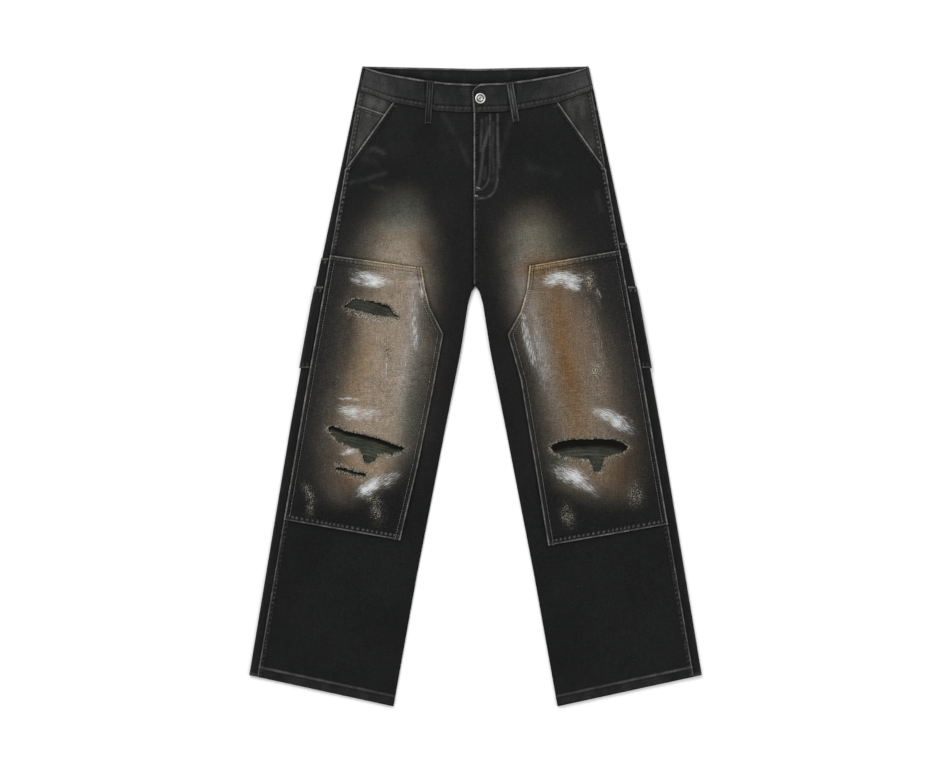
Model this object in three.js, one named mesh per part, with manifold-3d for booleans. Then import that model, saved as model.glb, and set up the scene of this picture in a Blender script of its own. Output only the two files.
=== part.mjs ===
// Wide-leg double-knee work jeans, laid flat on their back with the front up.
//
// Millimetres, +Z up, +Y towards the waist, +X towards the wearer's left side. The garment lies
// on z = 0. Its origin is under the middle of its outline, so the crotch is a little above it.
// "left" and "right" in names are the wearer's own. Every piece is a wall of cloth. The back
// pieces fold round the outer edges on to the front face, where the side seams are.
import * as THREE from "three";
import { mergeVertices } from "three/addons/utils/BufferGeometryUtils.js";
import Module from "manifold-3d";

const wasm = await Module();
wasm.setup();

// ---- Driving dimensions ----------------------------------------------------------------------

const wall = 1.2; // one ply of denim with its seam allowances pressed flat
const seamGap = 0.4; // clear space between neighbouring pieces at a seam
const layerGap = 0.35; // clear space between a piece and the piece it lies on
const layer = wall + layerGap; // step from one lying piece to the next
const hollow = 2.4; // space between the back and the front panels
const bandWall = 2.0; // the waistband is two plies
const loopWall = 1.5; // a belt loop is folded in three and pressed
const trimGap = 0.6; // clear space round small pieces let into an opening

const overlapLeft = -3.6; // free edge of the left front, over the right front
const overlapRight = 6; // hidden edge of the right front, under the left front
const hemOuter = [384.4, -490]; // corner of the hem at the outer edge
const hemInner = [139.2, -543.3]; // corner of the hem at the inner leg
const slashTop = [141, 482]; // hand pocket opening, upper end at the waistband
const slashBottom = [222, 368]; // hand pocket opening, lower end at the side seam
const toolBottomY = 31; // lower edge of both tool pocket tiers
const toolTopY = { left: 244, right: 218 }; // upper tier's mouth
const toolMouthY = 170; // lower tier's mouth
const toolReach = 112; // how far the tool pockets run under the leg from the fold
const buttonAt = [8.2, 488.4];
const buttonRadius = 9;

// Outlines as [y, x] points of the left half, from the waist down. The right half mirrors them.
const outerEdge = [[544, 192], [317, 240], [139, 277], [-65, 314], [-490, 384.4]];
const innerLeg = [[160, 6.9], [139, 12.8], [62, 24.7], [-65, 50], [-320, 99.5], [-543, 139.2]];
const sideSeam = [[544, 190], [502, 198], [368, 222], [215, 249], [20, 284], [-225, 326],
  [-490, 371]];
const rows = [440, 368, 317, 250, 215, 190, 176, 170, 160, 139, 100, 62, 31, 20, 8, -65, -145, -225,
  -320, -400, -455];

// Edges as [x, y] points from the centre out.
const frontWaistSeam = [[0, 464.5], [28.4, 465.5], [66, 467.5], [103.5, 475], [141, 482],
  [171.5, 493.5], [205, 505]];
const frontWaistTop = [[0, 513.5], [48, 515.5], [92, 521], [140, 529], [165, 534.5], [190, 542.5]];

const kneePatch = {
  left: {
    top: [[91, 205], [241, 231]],
    bottom: [[123, -270.5], [327, -234.5]],
    inner: [[205, 91], [163, 86.5], [127, 76], [88, 54], [11, 76], [-142, 102], [-270.5, 123]],
    rips: [
      [[126, -103], [139, -98], [156, -92], [184, -91], [234, -91], [259, -103], [245, -113], [221, -120],
        [215, -138], [212, -145], [201, -145], [191, -126], [153, -119], [130, -109]],
    ],
  },
  right: {
    top: [[91, 201.6], [248, 223.5]],
    bottom: [[127.5, -261.5], [329, -226]],
    inner: [[201.6, 91], [166, 85], [134.6, 77], [89, 54], [-9, 72], [-133.5, 97], [-261.5, 127.5]],
    rips: [
      [[129, 117], [137, 123], [146, 136], [166, 142], [204, 149], [224, 137], [201, 127], [166, 119]],
      [[121, -106], [153, -92.5], [221, -75], [246, -66], [250, -74], [217, -101], [195, -108], [189, -130],
        [174, -131], [164, -113], [141, -115]],
      [[185, -150], [212, -142], [238, -136], [236, -141], [212, -147], [187, -154]],
    ],
  },
};

// ---- Heights ---------------------------------------------------------------------------------

// How far the back panel is held off the ground by the pockets and loops sewn on it. It depends
// on y only, so that every piece above keeps its plies parallel.
const liftPoints = [[8, 0], [toolBottomY, 2 * layer], [toolMouthY, 2 * layer], [190, layer]];
const lift = (y) => through(liftPoints, y);
const frontBottom = (y) => lift(y) + wall + hollow;
const frontTop = (y) => frontBottom(y) + wall;

// ---- Geometry helpers ------------------------------------------------------------------------

// The value at t of the polyline through [t, value] points, held level past a rising list's ends
// and carried on straight past a falling list's ends.
function through(points, t) {
  const rising = points[0][0] < points[points.length - 1][0];
  const list = rising ? points : [...points].reverse();
  if (rising && t <= list[0][0]) return list[0][1];
  if (rising && t >= list[list.length - 1][0]) return list[list.length - 1][1];
  let i = 1;
  while (i < list.length - 1 && t > list[i][0]) i += 1;
  const [t0, v0] = list[i - 1];
  const [t1, v1] = list[i];
  return v0 + ((v1 - v0) * (t - t0)) / (t1 - t0);
}

const mix = (a, b, u) => a + (b - a) * u;

// The y of the straight line through two [x, y] points.
const lineY = ([[x0, y0], [x1, y1]], x) => mix(y0, y1, (x - x0) / (x1 - x0));

// Where an edge, x as a function of y, meets a row, y as a function of x.
function meet(edge, row) {
  let x = edge(row(200));
  for (let i = 0; i < 8; i += 1) x = edge(row(x));
  return x;
}

// A closed solid between two grids of points with the same rows and columns.
function solidBetween(lower, upper) {
  const m = lower.length;
  const n = lower[0].length;
  const points = [...lower.flat(), ...upper.flat()];
  const at = (side, i, j) => side * m * n + i * n + j;
  const faces = [];
  const quad = (a, b, c, d) => faces.push(a, b, c, a, c, d);
  for (let i = 0; i < m - 1; i += 1) {
    for (let j = 0; j < n - 1; j += 1) {
      quad(at(0, i, j), at(0, i, j + 1), at(0, i + 1, j + 1), at(0, i + 1, j));
      quad(at(1, i, j), at(1, i + 1, j), at(1, i + 1, j + 1), at(1, i, j + 1));
    }
    quad(at(0, i, 0), at(0, i + 1, 0), at(1, i + 1, 0), at(1, i, 0));
    quad(at(0, i, n - 1), at(1, i, n - 1), at(1, i + 1, n - 1), at(0, i + 1, n - 1));
  }
  for (let j = 0; j < n - 1; j += 1) {
    quad(at(0, 0, j), at(1, 0, j), at(1, 0, j + 1), at(0, 0, j + 1));
    quad(at(0, m - 1, j), at(0, m - 1, j + 1), at(1, m - 1, j + 1), at(1, m - 1, j));
  }
  const geometry = new THREE.BufferGeometry();
  geometry.setAttribute("position", new THREE.Float32BufferAttribute(points.flat(), 3));
  geometry.setIndex(faces);
  return facingOut(geometry);
}

// Turns a closed geometry's faces outwards where its grid ran the other way round.
function facingOut(geometry) {
  const p = geometry.getAttribute("position");
  const index = geometry.index.array;
  const [a, b, c] = [new THREE.Vector3(), new THREE.Vector3(), new THREE.Vector3()];
  let volume = 0;
  for (let i = 0; i < index.length; i += 3) {
    a.fromBufferAttribute(p, index[i]);
    b.fromBufferAttribute(p, index[i + 1]);
    c.fromBufferAttribute(p, index[i + 2]);
    volume += a.dot(b.cross(c));
  }
  if (volume < 0) {
    for (let i = 0; i < index.length; i += 3) [index[i + 1], index[i + 2]] = [index[i + 2], index[i + 1]];
  }
  return geometry;
}

// The same geometry on the wearer's other side.
function mirrored(geometry) {
  const p = geometry.getAttribute("position");
  for (let i = 0; i < p.count; i += 1) p.setX(i, -p.getX(i));
  return facingOut(geometry);
}

// A flat piece of cloth with the outline of [x, y] points, from z up by its thickness.
function flatPiece(outline, z, thickness = wall) {
  const shape = new THREE.Shape(outline.map(([x, y]) => new THREE.Vector2(x, y)));
  const geometry = new THREE.ExtrudeGeometry(shape, { depth: thickness, bevelEnabled: false });
  geometry.translate(0, 0, z);
  return merged(geometry);
}

// A geometry with only its positions, and its shared vertices joined.
function merged(geometry) {
  geometry.deleteAttribute("normal");
  geometry.deleteAttribute("uv");
  return mergeVertices(geometry, 1e-4);
}

// A geometry as a solid for joining and cutting, and back.
function toSolid(geometry) {
  const joined = merged(geometry);
  return new wasm.Manifold(new wasm.Mesh({
    numProp: 3,
    vertProperties: joined.getAttribute("position").array,
    triVerts: new Uint32Array(joined.index.array),
  }));
}

function toGeometry(solid) {
  const mesh = solid.getMesh();
  const geometry = new THREE.BufferGeometry();
  geometry.setAttribute("position", new THREE.BufferAttribute(mesh.vertProperties, 3));
  geometry.setIndex(new THREE.BufferAttribute(mesh.triVerts, 1));
  return geometry;
}

// ---- Materials -------------------------------------------------------------------------------

const denim = new THREE.MeshStandardMaterial({ color: 0x1d1e1f, roughness: 0.95, metalness: 0 });
const wornDenim = new THREE.MeshStandardMaterial({ color: 0x3a3b3c, roughness: 0.95, metalness: 0 });
const fadedDenim = new THREE.MeshStandardMaterial({ color: 0x7a6550, roughness: 0.95, metalness: 0 });
const nickel = new THREE.MeshStandardMaterial({ color: 0xcfcfca, roughness: 0.3, metalness: 1 });

// ---- Panels ----------------------------------------------------------------------------------

const outerAt = (y) => through(outerEdge, y);
const seamAt = (y) => through(sideSeam, y);
const innerAt = (y) => through(innerLeg, y);
const waistSeamY = (x) => through(frontWaistSeam, Math.abs(x));
const level = (y) => () => y;
const hemRow = (x) => lineY([hemInner, hemOuter], x);

// The front's edge at the centre: the left front laps over the right one above the crotch, and
// each follows its own inner leg below it.
function frontInner(overlap, crotch, y) {
  if (y >= 176) return overlap;
  if (y >= 170) return mix(crotch, overlap, (y - 170) / 6);
  if (y >= 160) return mix(innerAt(160), crotch, (y - 160) / 10);
  return innerAt(y);
}

// The front's outer edge: the side seam, and above it the hand pocket's slanted mouth.
function frontOuter(y) {
  if (y <= slashBottom[1]) return seamAt(y) - seamGap / 2;
  return mix(slashBottom[0], slashTop[0], (y - slashBottom[1]) / (slashTop[1] - slashBottom[1]));
}

// One front panel, as on the left. Its lap rises over the other front by one layer at the centre,
// and towards the inner leg the panel comes down to meet the back.
function frontPanel(inner, lap) {
  const waist = (x) => waistSeamY(x) - trimGap;
  const rowCurves = [waist, ...rows.map(level), hemRow];
  const lower = rowCurves.map((row, k) => {
    const x0 = k === 0 ? inner(waist(0)) : meet(inner, row);
    const x1 = k === 0 ? slashTop[0] : meet(frontOuter, row);
    const xs = [x0, x0 + 14, x0 + 32, mix(x0 + 32, x1, 1 / 3), mix(x0 + 32, x1, 2 / 3), x1];
    return xs.map((x, j) => {
      const y = row(x);
      const raised = lap * through([[160, 0], [170, 1]], y) * [1, 1, 0][Math.min(j, 2)];
      const closed = (hollow - layerGap) * through([[139, 1], [168, 0]], y);
      return [x, y, frontBottom(y) + raised - closed * [1, 0.3, 0][Math.min(j, 2)]];
    });
  });
  const upper = lower.map((row) => row.map(([x, y, z]) => [x, y, z + wall]));
  return solidBetween(lower, upper);
}

// Points round the outer fold of one leg along a row, from the front face to the underside, at a
// distance out from the inner surface of the fold. turn is the inner surface's radius there.
function foldSection(row, topFrom, under, out, ply = wall, turn = hollow / 2) {
  const edge = meet(outerAt, row);
  const centre = edge - turn - ply;
  const points = [];
  const put = (x, z) => points.push([x, row(x), z]);
  const middle = (x) => lift(row(x)) + ply + turn;
  put(topFrom, middle(topFrom) + turn + out);
  for (let k = 0; k <= 5; k += 1) {
    const angle = Math.PI / 2 - (k * Math.PI) / 5;
    const x = centre + (turn + out) * Math.cos(angle);
    points.push([x, row(centre), middle(centre) + (turn + out) * Math.sin(angle)]);
  }
  for (const x of under(centre)) put(x, middle(x) - turn - out);
  return points;
}

// Columns under the leg between the fold's centre and an end, in equal steps.
const columns = (end, steps) => (centre) =>
  Array.from({ length: steps }, (_, k) => mix(centre, end, (k + 1) / steps));

// A piece that folds round the outer edge. start and end give its edges along each row.
function foldedPiece(rowCurves, start, end, out, steps) {
  const side = (distance) => rowCurves.map((row) =>
    foldSection(row, start(row), columns(end(row), steps), distance));
  return solidBetween(side(out), side(out + wall));
}

// The back's edge at the centre: the inner leg, which runs out to the seat seam at the crotch.
function backInnerAt(y) {
  if (y < 160) return innerAt(y);
  return mix(innerAt(160), seamGap / 2, Math.min(1, (y - 160) / 10));
}
const stripStart = (row) => meet(seamAt, row) + seamGap / 2;
const yokeRow = (x) => 440 + (30 * Math.abs(x)) / 205;
const backSeamRow = (x) => 497 + (6 * Math.abs(x)) / 198;
const backTopRow = (x) => 539.4 + (4 * Math.abs(x)) / 192;
const shifted = (row, by) => (x) => row(x) + by;

function backPanel() {
  const rowCurves = [shifted(yokeRow, -seamGap), ...rows.slice(1).map(level), hemRow];
  return foldedPiece(rowCurves, stripStart, (row) => meet(backInnerAt, row), 0, 3);
}

function yoke() {
  const rowCurves = [shifted(backSeamRow, -seamGap), yokeRow];
  return foldedPiece(rowCurves, stripStart, () => seamGap / 2, 0, 3);
}

// A tool pocket tier, wrapped round the fold over the leg and lying out from it by some layers.
function toolPocket(topY, layers) {
  const inside = rows.filter((y) => y < topY && y > toolBottomY);
  const rowCurves = [topY, ...inside, toolBottomY].map(level);
  const start = (row) => stripStart(row) + 1;
  const end = (row) => meet(outerAt, row) - toolReach;
  return foldedPiece(rowCurves, start, end, layers * layer, 2);
}

// The reinforcing patch over a thigh and knee, with its rips cut right through.
function kneePanel({ top, bottom, inner, rips }) {
  const topRow = (x) => lineY(top, x);
  const bottomRow = (x) => lineY(bottom, x);
  const between = [190, 170, 163, 139, 127, 88, 62, 31, 8, -65, -142, -205];
  const rowCurves = [topRow, ...between.map(level), bottomRow];
  const lower = rowCurves.map((row, k) => {
    const x0 = k === 0 ? top[0][0] : meet((y) => through(inner, y), row);
    const x1 = meet((y) => seamAt(y) - seamGap, row);
    return [0, 0.25, 0.5, 0.75, 1].map((u) => {
      const x = mix(x0, x1, u);
      return [x, row(x), frontTop(row(x)) + layerGap];
    });
  });
  const upper = lower.map((row) => row.map(([x, y, z]) => [x, y, z + wall]));
  let solid = toSolid(solidBetween(lower, upper));
  for (const rip of rips) solid = solid.subtract(toSolid(flatPiece(rip, 0, 40)));
  return toGeometry(solid);
}

// ---- Waistband and loops ---------------------------------------------------------------------

const atWaist = frontBottom(500); // underside of the front pieces at the waist

// Half of the front waistband. Each column is [x at the seam, x at the top, y at the top, rise].
function frontBand(start) {
  const side = [[66, 66], [103.5, 103.5], [141, 141], [171.5, 168], [196, 187.2]];
  const columnsOut = side.map(([x, xTop]) => [x, xTop, through(frontWaistTop, xTop), 0]);
  const lower = [...start, ...columnsOut].map(([x, xTop, yTop, rise]) => {
    const z = atWaist + rise;
    const y = waistSeamY(x);
    return [[x, y, z], [mix(x, xTop, 0.5), mix(y, yTop, 0.5), z], [xTop, yTop, z]];
  });
  const upper = lower.map((row) => row.map(([x, y, z]) => [x, y, z + bandWall]));
  return solidBetween(lower, upper);
}

// The left half ends in a tab, raised over the right half, with the buttonhole.
function leftBand() {
  const rise = bandWall + layerGap;
  const tab = [
    [-3.6, -7, 503, rise], [1.5, -2, 507.5, rise], [10.4, 10.4, 510.5, rise],
    [28.4, 28.4, 513.5, rise], [46, 46, 515, 0],
  ];
  const hole = new THREE.CylinderGeometry(3, 3, 30, 16).rotateX(Math.PI / 2);
  hole.translate(buttonAt[0], buttonAt[1], atWaist);
  return toGeometry(toSolid(frontBand(tab)).subtract(toSolid(hole)));
}

function rightBand() {
  const under = [[-24, -24, 512, 0], [-8, -8, 513, 0], [8, 8, 514, 0], [28.4, 28.4, 514.5, 0]];
  return mirrored(frontBand(under));
}

// The back waistband folds round both outer edges to meet the front halves.
function backBand() {
  const half = (row, out) =>
    foldSection(row, meet(outerAt, row) - 4.5, columns(0, 2), out, bandWall, hollow / 2 - 0.4);
  const whole = (row, out) => {
    const left = half(row, out);
    const right = left.slice(0, -1).map(([x, y, z]) => [-x, y, z]);
    return [...left, ...right.reverse()];
  };
  const rowCurves = [backSeamRow, backTopRow];
  return solidBetween(
    rowCurves.map((row) => whole(row, 0)),
    rowCurves.map((row) => whole(row, bandWall)),
  );
}

// A front belt loop: over the band, down a small step, and on to the front panel.
function frontLoop([xTop, yTop], [xBottom, yBottom], width) {
  const overBand = atWaist + bandWall + layerGap;
  const overPanel = atWaist + wall + layerGap;
  const steps = [[yTop, overBand], [464, overBand], [457, overPanel], [yBottom, overPanel]];
  const lower = steps.map(([y, z]) => {
    const x = mix(xTop, xBottom, (yTop - y) / (yTop - yBottom));
    return [[x - width / 2, y, z], [x + width / 2, y, z]];
  });
  const upper = lower.map((row) => row.map(([x, y, z]) => [x, y, z + loopWall]));
  return solidBetween(lower, upper);
}

// A back belt loop lies under the waistband and the yoke.
function backLoop(x) {
  const half = 6.5;
  return flatPiece([[x - half, 470], [x + half, 470], [x + half, 541], [x - half, 541]], 0);
}

// ---- Pockets, fly and button -----------------------------------------------------------------

// The facing behind a hand pocket's mouth, under the front and back panels' edges.
function pocketFacing() {
  const outline = [
    [117, 474], [140, 480], [171, 491], [198, 500],
    [213.5, 419], [223, 362], [198, 362], [140, 440],
  ];
  return flatPiece(outline, atWaist - layer);
}

// The coin pocket on the right facing, as mirrored from the left.
function coinPocket() {
  const outline = [[158.5, 464.5], [192, 476.5], [205, 447], [217, 385], [216, 381], [184, 427]];
  return flatPiece(outline, atWaist);
}

// A back patch pocket with its pointed foot.
function backPocket() {
  const outline = [[40, 435], [172, 447], [166, 330], [102, 300], [44, 322]];
  return flatPiece(outline, 0);
}

// The fly facing behind the left front, with a curved foot, and the zip beside it.
function flyFacing() {
  const shape = [[9, 461], [38, 461], [38, 356], [35, 342], [29, 331], [20, 323], [9, 320]];
  return flatPiece(shape, atWaist - layer);
}

function flyZip() {
  return flatPiece([[-13, 461], [8, 461], [8, 320], [-13, 320]], atWaist - layer);
}

// The shank button: a foot under the tab, a post through the buttonhole and a domed, ringed head.
function button() {
  const foot = atWaist + bandWall + 0.3;
  const under = atWaist + 2 * bandWall + layerGap + 0.3;
  const r = buttonRadius;
  const profile = [
    [0, foot], [2.2, foot], [2.2, under], [r - 1, under], [r, under + 0.8], [r, under + 1.8],
    [r - 0.8, under + 2.8], [r - 2, under + 3], [r - 2.8, under + 2.5], [r - 4.4, under + 2.6],
    [r - 5.4, under + 3.1], [r - 6.2, under + 2.7], [0, under + 2.7],
  ];
  const points = profile.map(([x, y]) => new THREE.Vector2(x, y));
  const geometry = new THREE.LatheGeometry(points, 28).rotateX(Math.PI / 2);
  geometry.translate(buttonAt[0], buttonAt[1], 0);
  return facingOut(merged(geometry));
}

// ---- The garment -----------------------------------------------------------------------------

const jeans = new THREE.Group();

function add(name, geometry, material) {
  const bare = geometry.clone();
  bare.computeVertexNormals();
  const mesh = new THREE.Mesh(bare, material);
  mesh.name = name;
  jeans.add(mesh);
}

add("front_left", frontPanel((y) => frontInner(overlapLeft, 0.4, y), layer), denim);
add("front_right", mirrored(frontPanel((y) => frontInner(-overlapRight, 4, y), 0)), denim);
add("back_left", backPanel(), denim);
add("back_right", mirrored(backPanel()), denim);
add("yoke_left", yoke(), denim);
add("yoke_right", mirrored(yoke()), denim);
add("waistband_front_left", leftBand(), wornDenim);
add("waistband_front_right", rightBand(), wornDenim);
add("waistband_back", backBand(), wornDenim);
add("knee_patch_left", kneePanel(kneePatch.left), fadedDenim);
add("knee_patch_right", mirrored(kneePanel(kneePatch.right)), fadedDenim);
add("tool_pocket_upper_left", toolPocket(toolTopY.left, 1), denim);
add("tool_pocket_upper_right", mirrored(toolPocket(toolTopY.right, 1)), denim);
add("tool_pocket_lower_left", toolPocket(toolMouthY, 2), denim);
add("tool_pocket_lower_right", mirrored(toolPocket(toolMouthY, 2)), denim);
add("pocket_facing_left", pocketFacing(), wornDenim);
add("pocket_facing_right", mirrored(pocketFacing()), wornDenim);
add("coin_pocket", mirrored(coinPocket()), wornDenim);
add("back_pocket_left", backPocket(), denim);
add("back_pocket_right", mirrored(backPocket()), denim);
add("belt_loop_front_left", frontLoop([58, 516], [69, 449], 12.5), wornDenim);
add("belt_loop_front_right", mirrored(frontLoop([76.5, 519], [81, 445], 12.5)), wornDenim);
add("belt_loop_back_left", backLoop(118), denim);
add("belt_loop_back_center", backLoop(0), denim);
add("belt_loop_back_right", mirrored(backLoop(118)), denim);
add("fly_facing", flyFacing(), denim);
add("fly_zip", flyZip(), nickel);
add("button", button(), nickel);

export default jeans;
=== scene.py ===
"""Wide-leg double-knee jeans laid flat, front up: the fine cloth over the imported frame.

Shapes are worked out in millimetres in the frame's axes, +Z up and +Y towards the waist, and put
into meshes in metres. "left" and "right" are the wearer's own, so left is at +X. Both halves are
worked out as on the left and mirrored by their side, which is 1 on the left and -1 on the right.
"""

import math

import bpy
import numpy as np
from mathutils import Matrix


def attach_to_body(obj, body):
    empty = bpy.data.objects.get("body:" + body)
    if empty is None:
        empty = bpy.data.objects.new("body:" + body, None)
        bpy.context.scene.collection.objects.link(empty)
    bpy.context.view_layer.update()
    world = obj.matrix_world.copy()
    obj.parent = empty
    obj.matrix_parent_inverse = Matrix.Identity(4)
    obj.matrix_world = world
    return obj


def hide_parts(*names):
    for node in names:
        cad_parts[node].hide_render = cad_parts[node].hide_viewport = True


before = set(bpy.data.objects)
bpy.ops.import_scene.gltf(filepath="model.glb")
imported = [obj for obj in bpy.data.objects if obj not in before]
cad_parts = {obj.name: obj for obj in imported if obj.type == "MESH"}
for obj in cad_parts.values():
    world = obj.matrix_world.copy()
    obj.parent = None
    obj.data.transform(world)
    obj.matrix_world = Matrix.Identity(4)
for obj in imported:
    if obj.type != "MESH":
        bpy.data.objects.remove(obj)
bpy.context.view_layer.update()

bl_info = {
    "name": "Ripped jeans",
    "version": (1, 0, 0),
    "blender": (4, 5, 0),
    "location": "3D View > Sidebar > Jeans",
    "description": "Builds a pair of ripped double-knee jeans, laid flat",
    "category": "Object",
}

MM = 0.001
SIDES = {"left": 1, "right": -1}

# ---- The cut, in millimetres -----------------------------------------------------------------

WALL = 1.2  # one ply of denim
LAYER = 1.55  # from one lying ply to the next
BAND = 2.0  # the waistband's two plies
FRONT_TOP = 4.8  # top of the front over the ground, where nothing is sewn on the back
LAP_LEFT = -3.6  # free edge of the left front
LAP_RIGHT = 6.0  # hidden edge of the right front, past the middle
HEM = ((139.2, -543.3), (384.4, -490.0))  # the hem line's ends
HEM_SQUARE = 0.977  # from a height over the hem line to the distance square to it
PATCH_SQUARE = 0.985  # the same for the knee patches' top and foot
BAND_HEIGHT = 46  # the waistband's usual height
BAND_LAP = 24  # how far the right half of the waistband goes on under the tab
TAB_GAP = 0.35  # from that half up to the tab
SLASH = ((222.0, 368.0), (141.0, 482.0))  # the hand pocket's slanted mouth
SLASH_LEAN = 0.7105  # how far the slash runs out for each millimetre down
SLASH_ASIDE = 1.23  # from a distance square to the slash to the one straight across
TOOL_FOOT = 31.0  # the tool pockets' foot
TOOL_TOP = {1: 244.0, -1: 218.0}  # the upper tier's mouth
TOOL_MOUTH = 170.0  # the lower tier's mouth
TOOL_REACH = 112.0  # how far both go round under the leg
POCKET_GAP = 0.15  # from the cloth to the pocket on it
BUTTON = (8.2, 488.4)  # its middle
# The front loops' tops and feet as (x, y) on the left half, and where each crosses the waistband.
FRONT_LOOPS = {1: ((58, 516), (69, 449)), -1: ((76.5, 519), (81, 445))}
LOOP_ON_BAND = {1: 62, -1: 79}
COIN_TOP = (182, 472.2, 0.35)  # the coin pocket's top edge: a point of it, and its slope

# Edges as (y, x) on the left half, from the hem up.
OUTER_EDGE = ((-490, 384.4), (-65, 314), (139, 277), (317, 240), (544, 192))
INNER_LEG = ((-543, 139.2), (-320, 99.5), (-65, 50), (62, 24.7), (139, 12.8), (160, 6.9))
SIDE_SEAM = ((-490, 371), (-225, 326), (20, 284), (215, 249), (368, 222), (502, 198), (544, 190))

# Edges as (x, y) from the middle out.
WAIST_SEAM = ((0, 464.5), (28.4, 465.5), (66, 467.5), (103.5, 475), (141, 482), (171.5, 493.5),
              (205, 505))
WAIST_TOP = ((0, 513.5), (48, 515.5), (92, 521), (140, 529), (165, 534.5), (190, 542.5))

# The knee patches: top and bottom edges as (x, y), inner edge as (y, x).
PATCH_TOP = {1: ((91, 205), (241, 231)), -1: ((91, 201.6), (248, 223.5))}
PATCH_FOOT = {1: ((123, -270.5), (327, -234.5)), -1: ((127.5, -261.5), (329, -226))}
PATCH_INNER = {
    1: ((-270.5, 123), (-142, 102), (11, 76), (88, 54), (127, 76), (163, 86.5), (205, 91)),
    -1: ((-261.5, 127.5), (-133.5, 97), (-9, 72), (89, 54), (134.6, 77), (166, 85), (201.6, 91)),
}
# The rips as (upper edge, lower edge, how far down the upper edge's shade reaches).
RIPS = {
    1: (
        (((127, -102), (131, -97.5), (141, -93.5), (156, -90.5), (184, -89), (212, -88.5), (234, -90),
          (247, -93.5), (256, -98.5), (260, -103)),
         ((127, -103), (130, -109), (138, -114.5), (153, -119), (171.5, -121.5), (191, -124),
          (197, -132), (200, -145), (212.5, -145), (217, -130), (219, -121), (228, -118),
          (245, -113.5), (255, -109), (260, -104)), 17),
    ),
    -1: (
        (((129, 119), (137.5, 123), (146, 136), (166, 142.5), (202, 149), (209, 147),
          (224, 136)),
         ((129, 116), (166, 120), (201, 128), (218, 133), (224, 135.5)), 3),
        (((120, -105), (123, -103), (153, -92.5), (179, -84), (221.5, -75), (244, -66),
          (251, -70)),
         ((120, -107), (141, -115), (164, -113), (170, -126), (179, -132), (190, -128), (192, -116),
          (198, -107), (217, -101), (236, -91), (251, -72)), 9),
        (((185, -148), (212, -142), (238, -135.5)), ((185, -154), (213, -148), (238, -141)), 5),
    ),
}

# The fly: the stitched J as (x, y), outer row and inner row.
FLY_OUTER = ((37.6, 462), (37.6, 361), (37, 350), (35, 340), (31.5, 331), (26, 324.5), (18, 320.5),
             (8, 320), (-2, 321))
FLY_INNER = ((24.7, 462), (24.7, 380), (24, 362), (22, 350), (18, 341), (12, 336), (4, 334),
             (-2, 334))

# The fly's upright ripples as (path, half width, strength).
FLY_RIPPLES = (
    (((11, 452), (10, 425), (9, 400)), 2.2, 0.8),
    (((24, 440), (13, 402), (9.5, 365), (5, 342)), 2.4, 1.0),
    (((18, 456), (19, 430), (14, 405)), 2.2, 0.5),
    (((30, 448), (29, 400), (31, 362)), 2.2, 0.55),
    (((37, 440), (38.5, 400), (41, 372)), 2.4, 0.6),
    (((17, 372), (15, 352)), 2.0, 0.6),
)

# ---- Small mathematics -----------------------------------------------------------------------


def along(points, t):
    """The value at t of straight lines through (t, value) points, whose t rises."""
    return np.interp(t, [p[0] for p in points], [p[1] for p in points])


def line_at(ends, x):
    """The y at x of the straight line through two (x, y) ends, carried on past them."""
    (x0, y0), (x1, y1) = ends
    return y0 + (y1 - y0) * (x - x0) / (x1 - x0)


def line_through(line, x):
    """The y at x of a line given as (x, y, slope)."""
    return line[1] + line[2] * (x - line[0])


def mix(a, b, t):
    """From a at t = 0 to b at t = 1."""
    return a + (b - a) * t


def smooth(a, b, t):
    """0 before a and 1 after b, with the cubic 3s^2 - 2s^3 between."""
    s = np.clip((t - a) / (b - a), 0, 1)
    return s * s * (3 - 2 * s)


def bell(d, width):
    """exp(-(d / width)^2)"""
    return np.exp(-((d / width) ** 2))


def noise(x, y, size, seed):
    """Smooth random values from 0 to 1: a seeded table on squares of that size, blended by cubics."""
    table = np.random.default_rng(seed).random((61, 67))
    u = x / size + 500.37
    v = y / size + 500.71
    i = np.floor(u).astype(int)
    j = np.floor(v).astype(int)
    a = smooth(0, 1, u - i)
    b = smooth(0, 1, v - j)

    def at(di, dj):
        return table[(i + di) % 61, (j + dj) % 67]

    return mix(mix(at(0, 0), at(1, 0), a), mix(at(0, 1), at(1, 1), a), b)


def cloudy(x, y, size, seed):
    """Three octaves of noise, each half the size and half the height of the last, from -1 to 1."""
    total = 0
    for k in range(3):
        total = total + (noise(x, y, size / 2**k, seed + k) - 0.5) / 2**k
    return total / 0.875


def to_path(x, y, path):
    """How far each point is from a path of straight lines, and how far along the path it is."""
    best = np.full(np.shape(x), np.inf)
    where = np.zeros(np.shape(x))
    gone = 0.0
    for (x0, y0), (x1, y1) in zip(path[:-1], path[1:]):
        dx, dy = x1 - x0, y1 - y0
        length = math.hypot(dx, dy)
        t = np.clip(((x - x0) * dx + (y - y0) * dy) / length**2, 0, 1)
        d = np.hypot(x - x0 - t * dx, y - y0 - t * dy)
        nearer = d < best
        best = np.where(nearer, d, best)
        where = np.where(nearer, gone + t * length, where)
        gone += length
    return best, where


def outside(x, y, outline):
    """The distance to a closed outline, negative inside it, by counting the sides crossed."""
    path = list(outline) + [outline[0]]
    distance, _ = to_path(x, y, path)
    crossed = np.zeros(np.shape(x), int)
    for (x0, y0), (x1, y1) in zip(path[:-1], path[1:]):
        between = (y0 > y) != (y1 > y)
        at = x0 + (y - y0) * (x1 - x0) / (y1 - y0 if y1 != y0 else 1e-9)
        crossed += between & (x < at)
    return np.where(crossed % 2 == 1, -distance, distance)


# Places in from a rim, in millimetres, close enough together for the wear along its stitching.
FINE_RIM = (0.5, 1.2, 2.0, 2.9, 3.9, 5.0, 6.2, 7.5, 8.9, 10.4)


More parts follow.
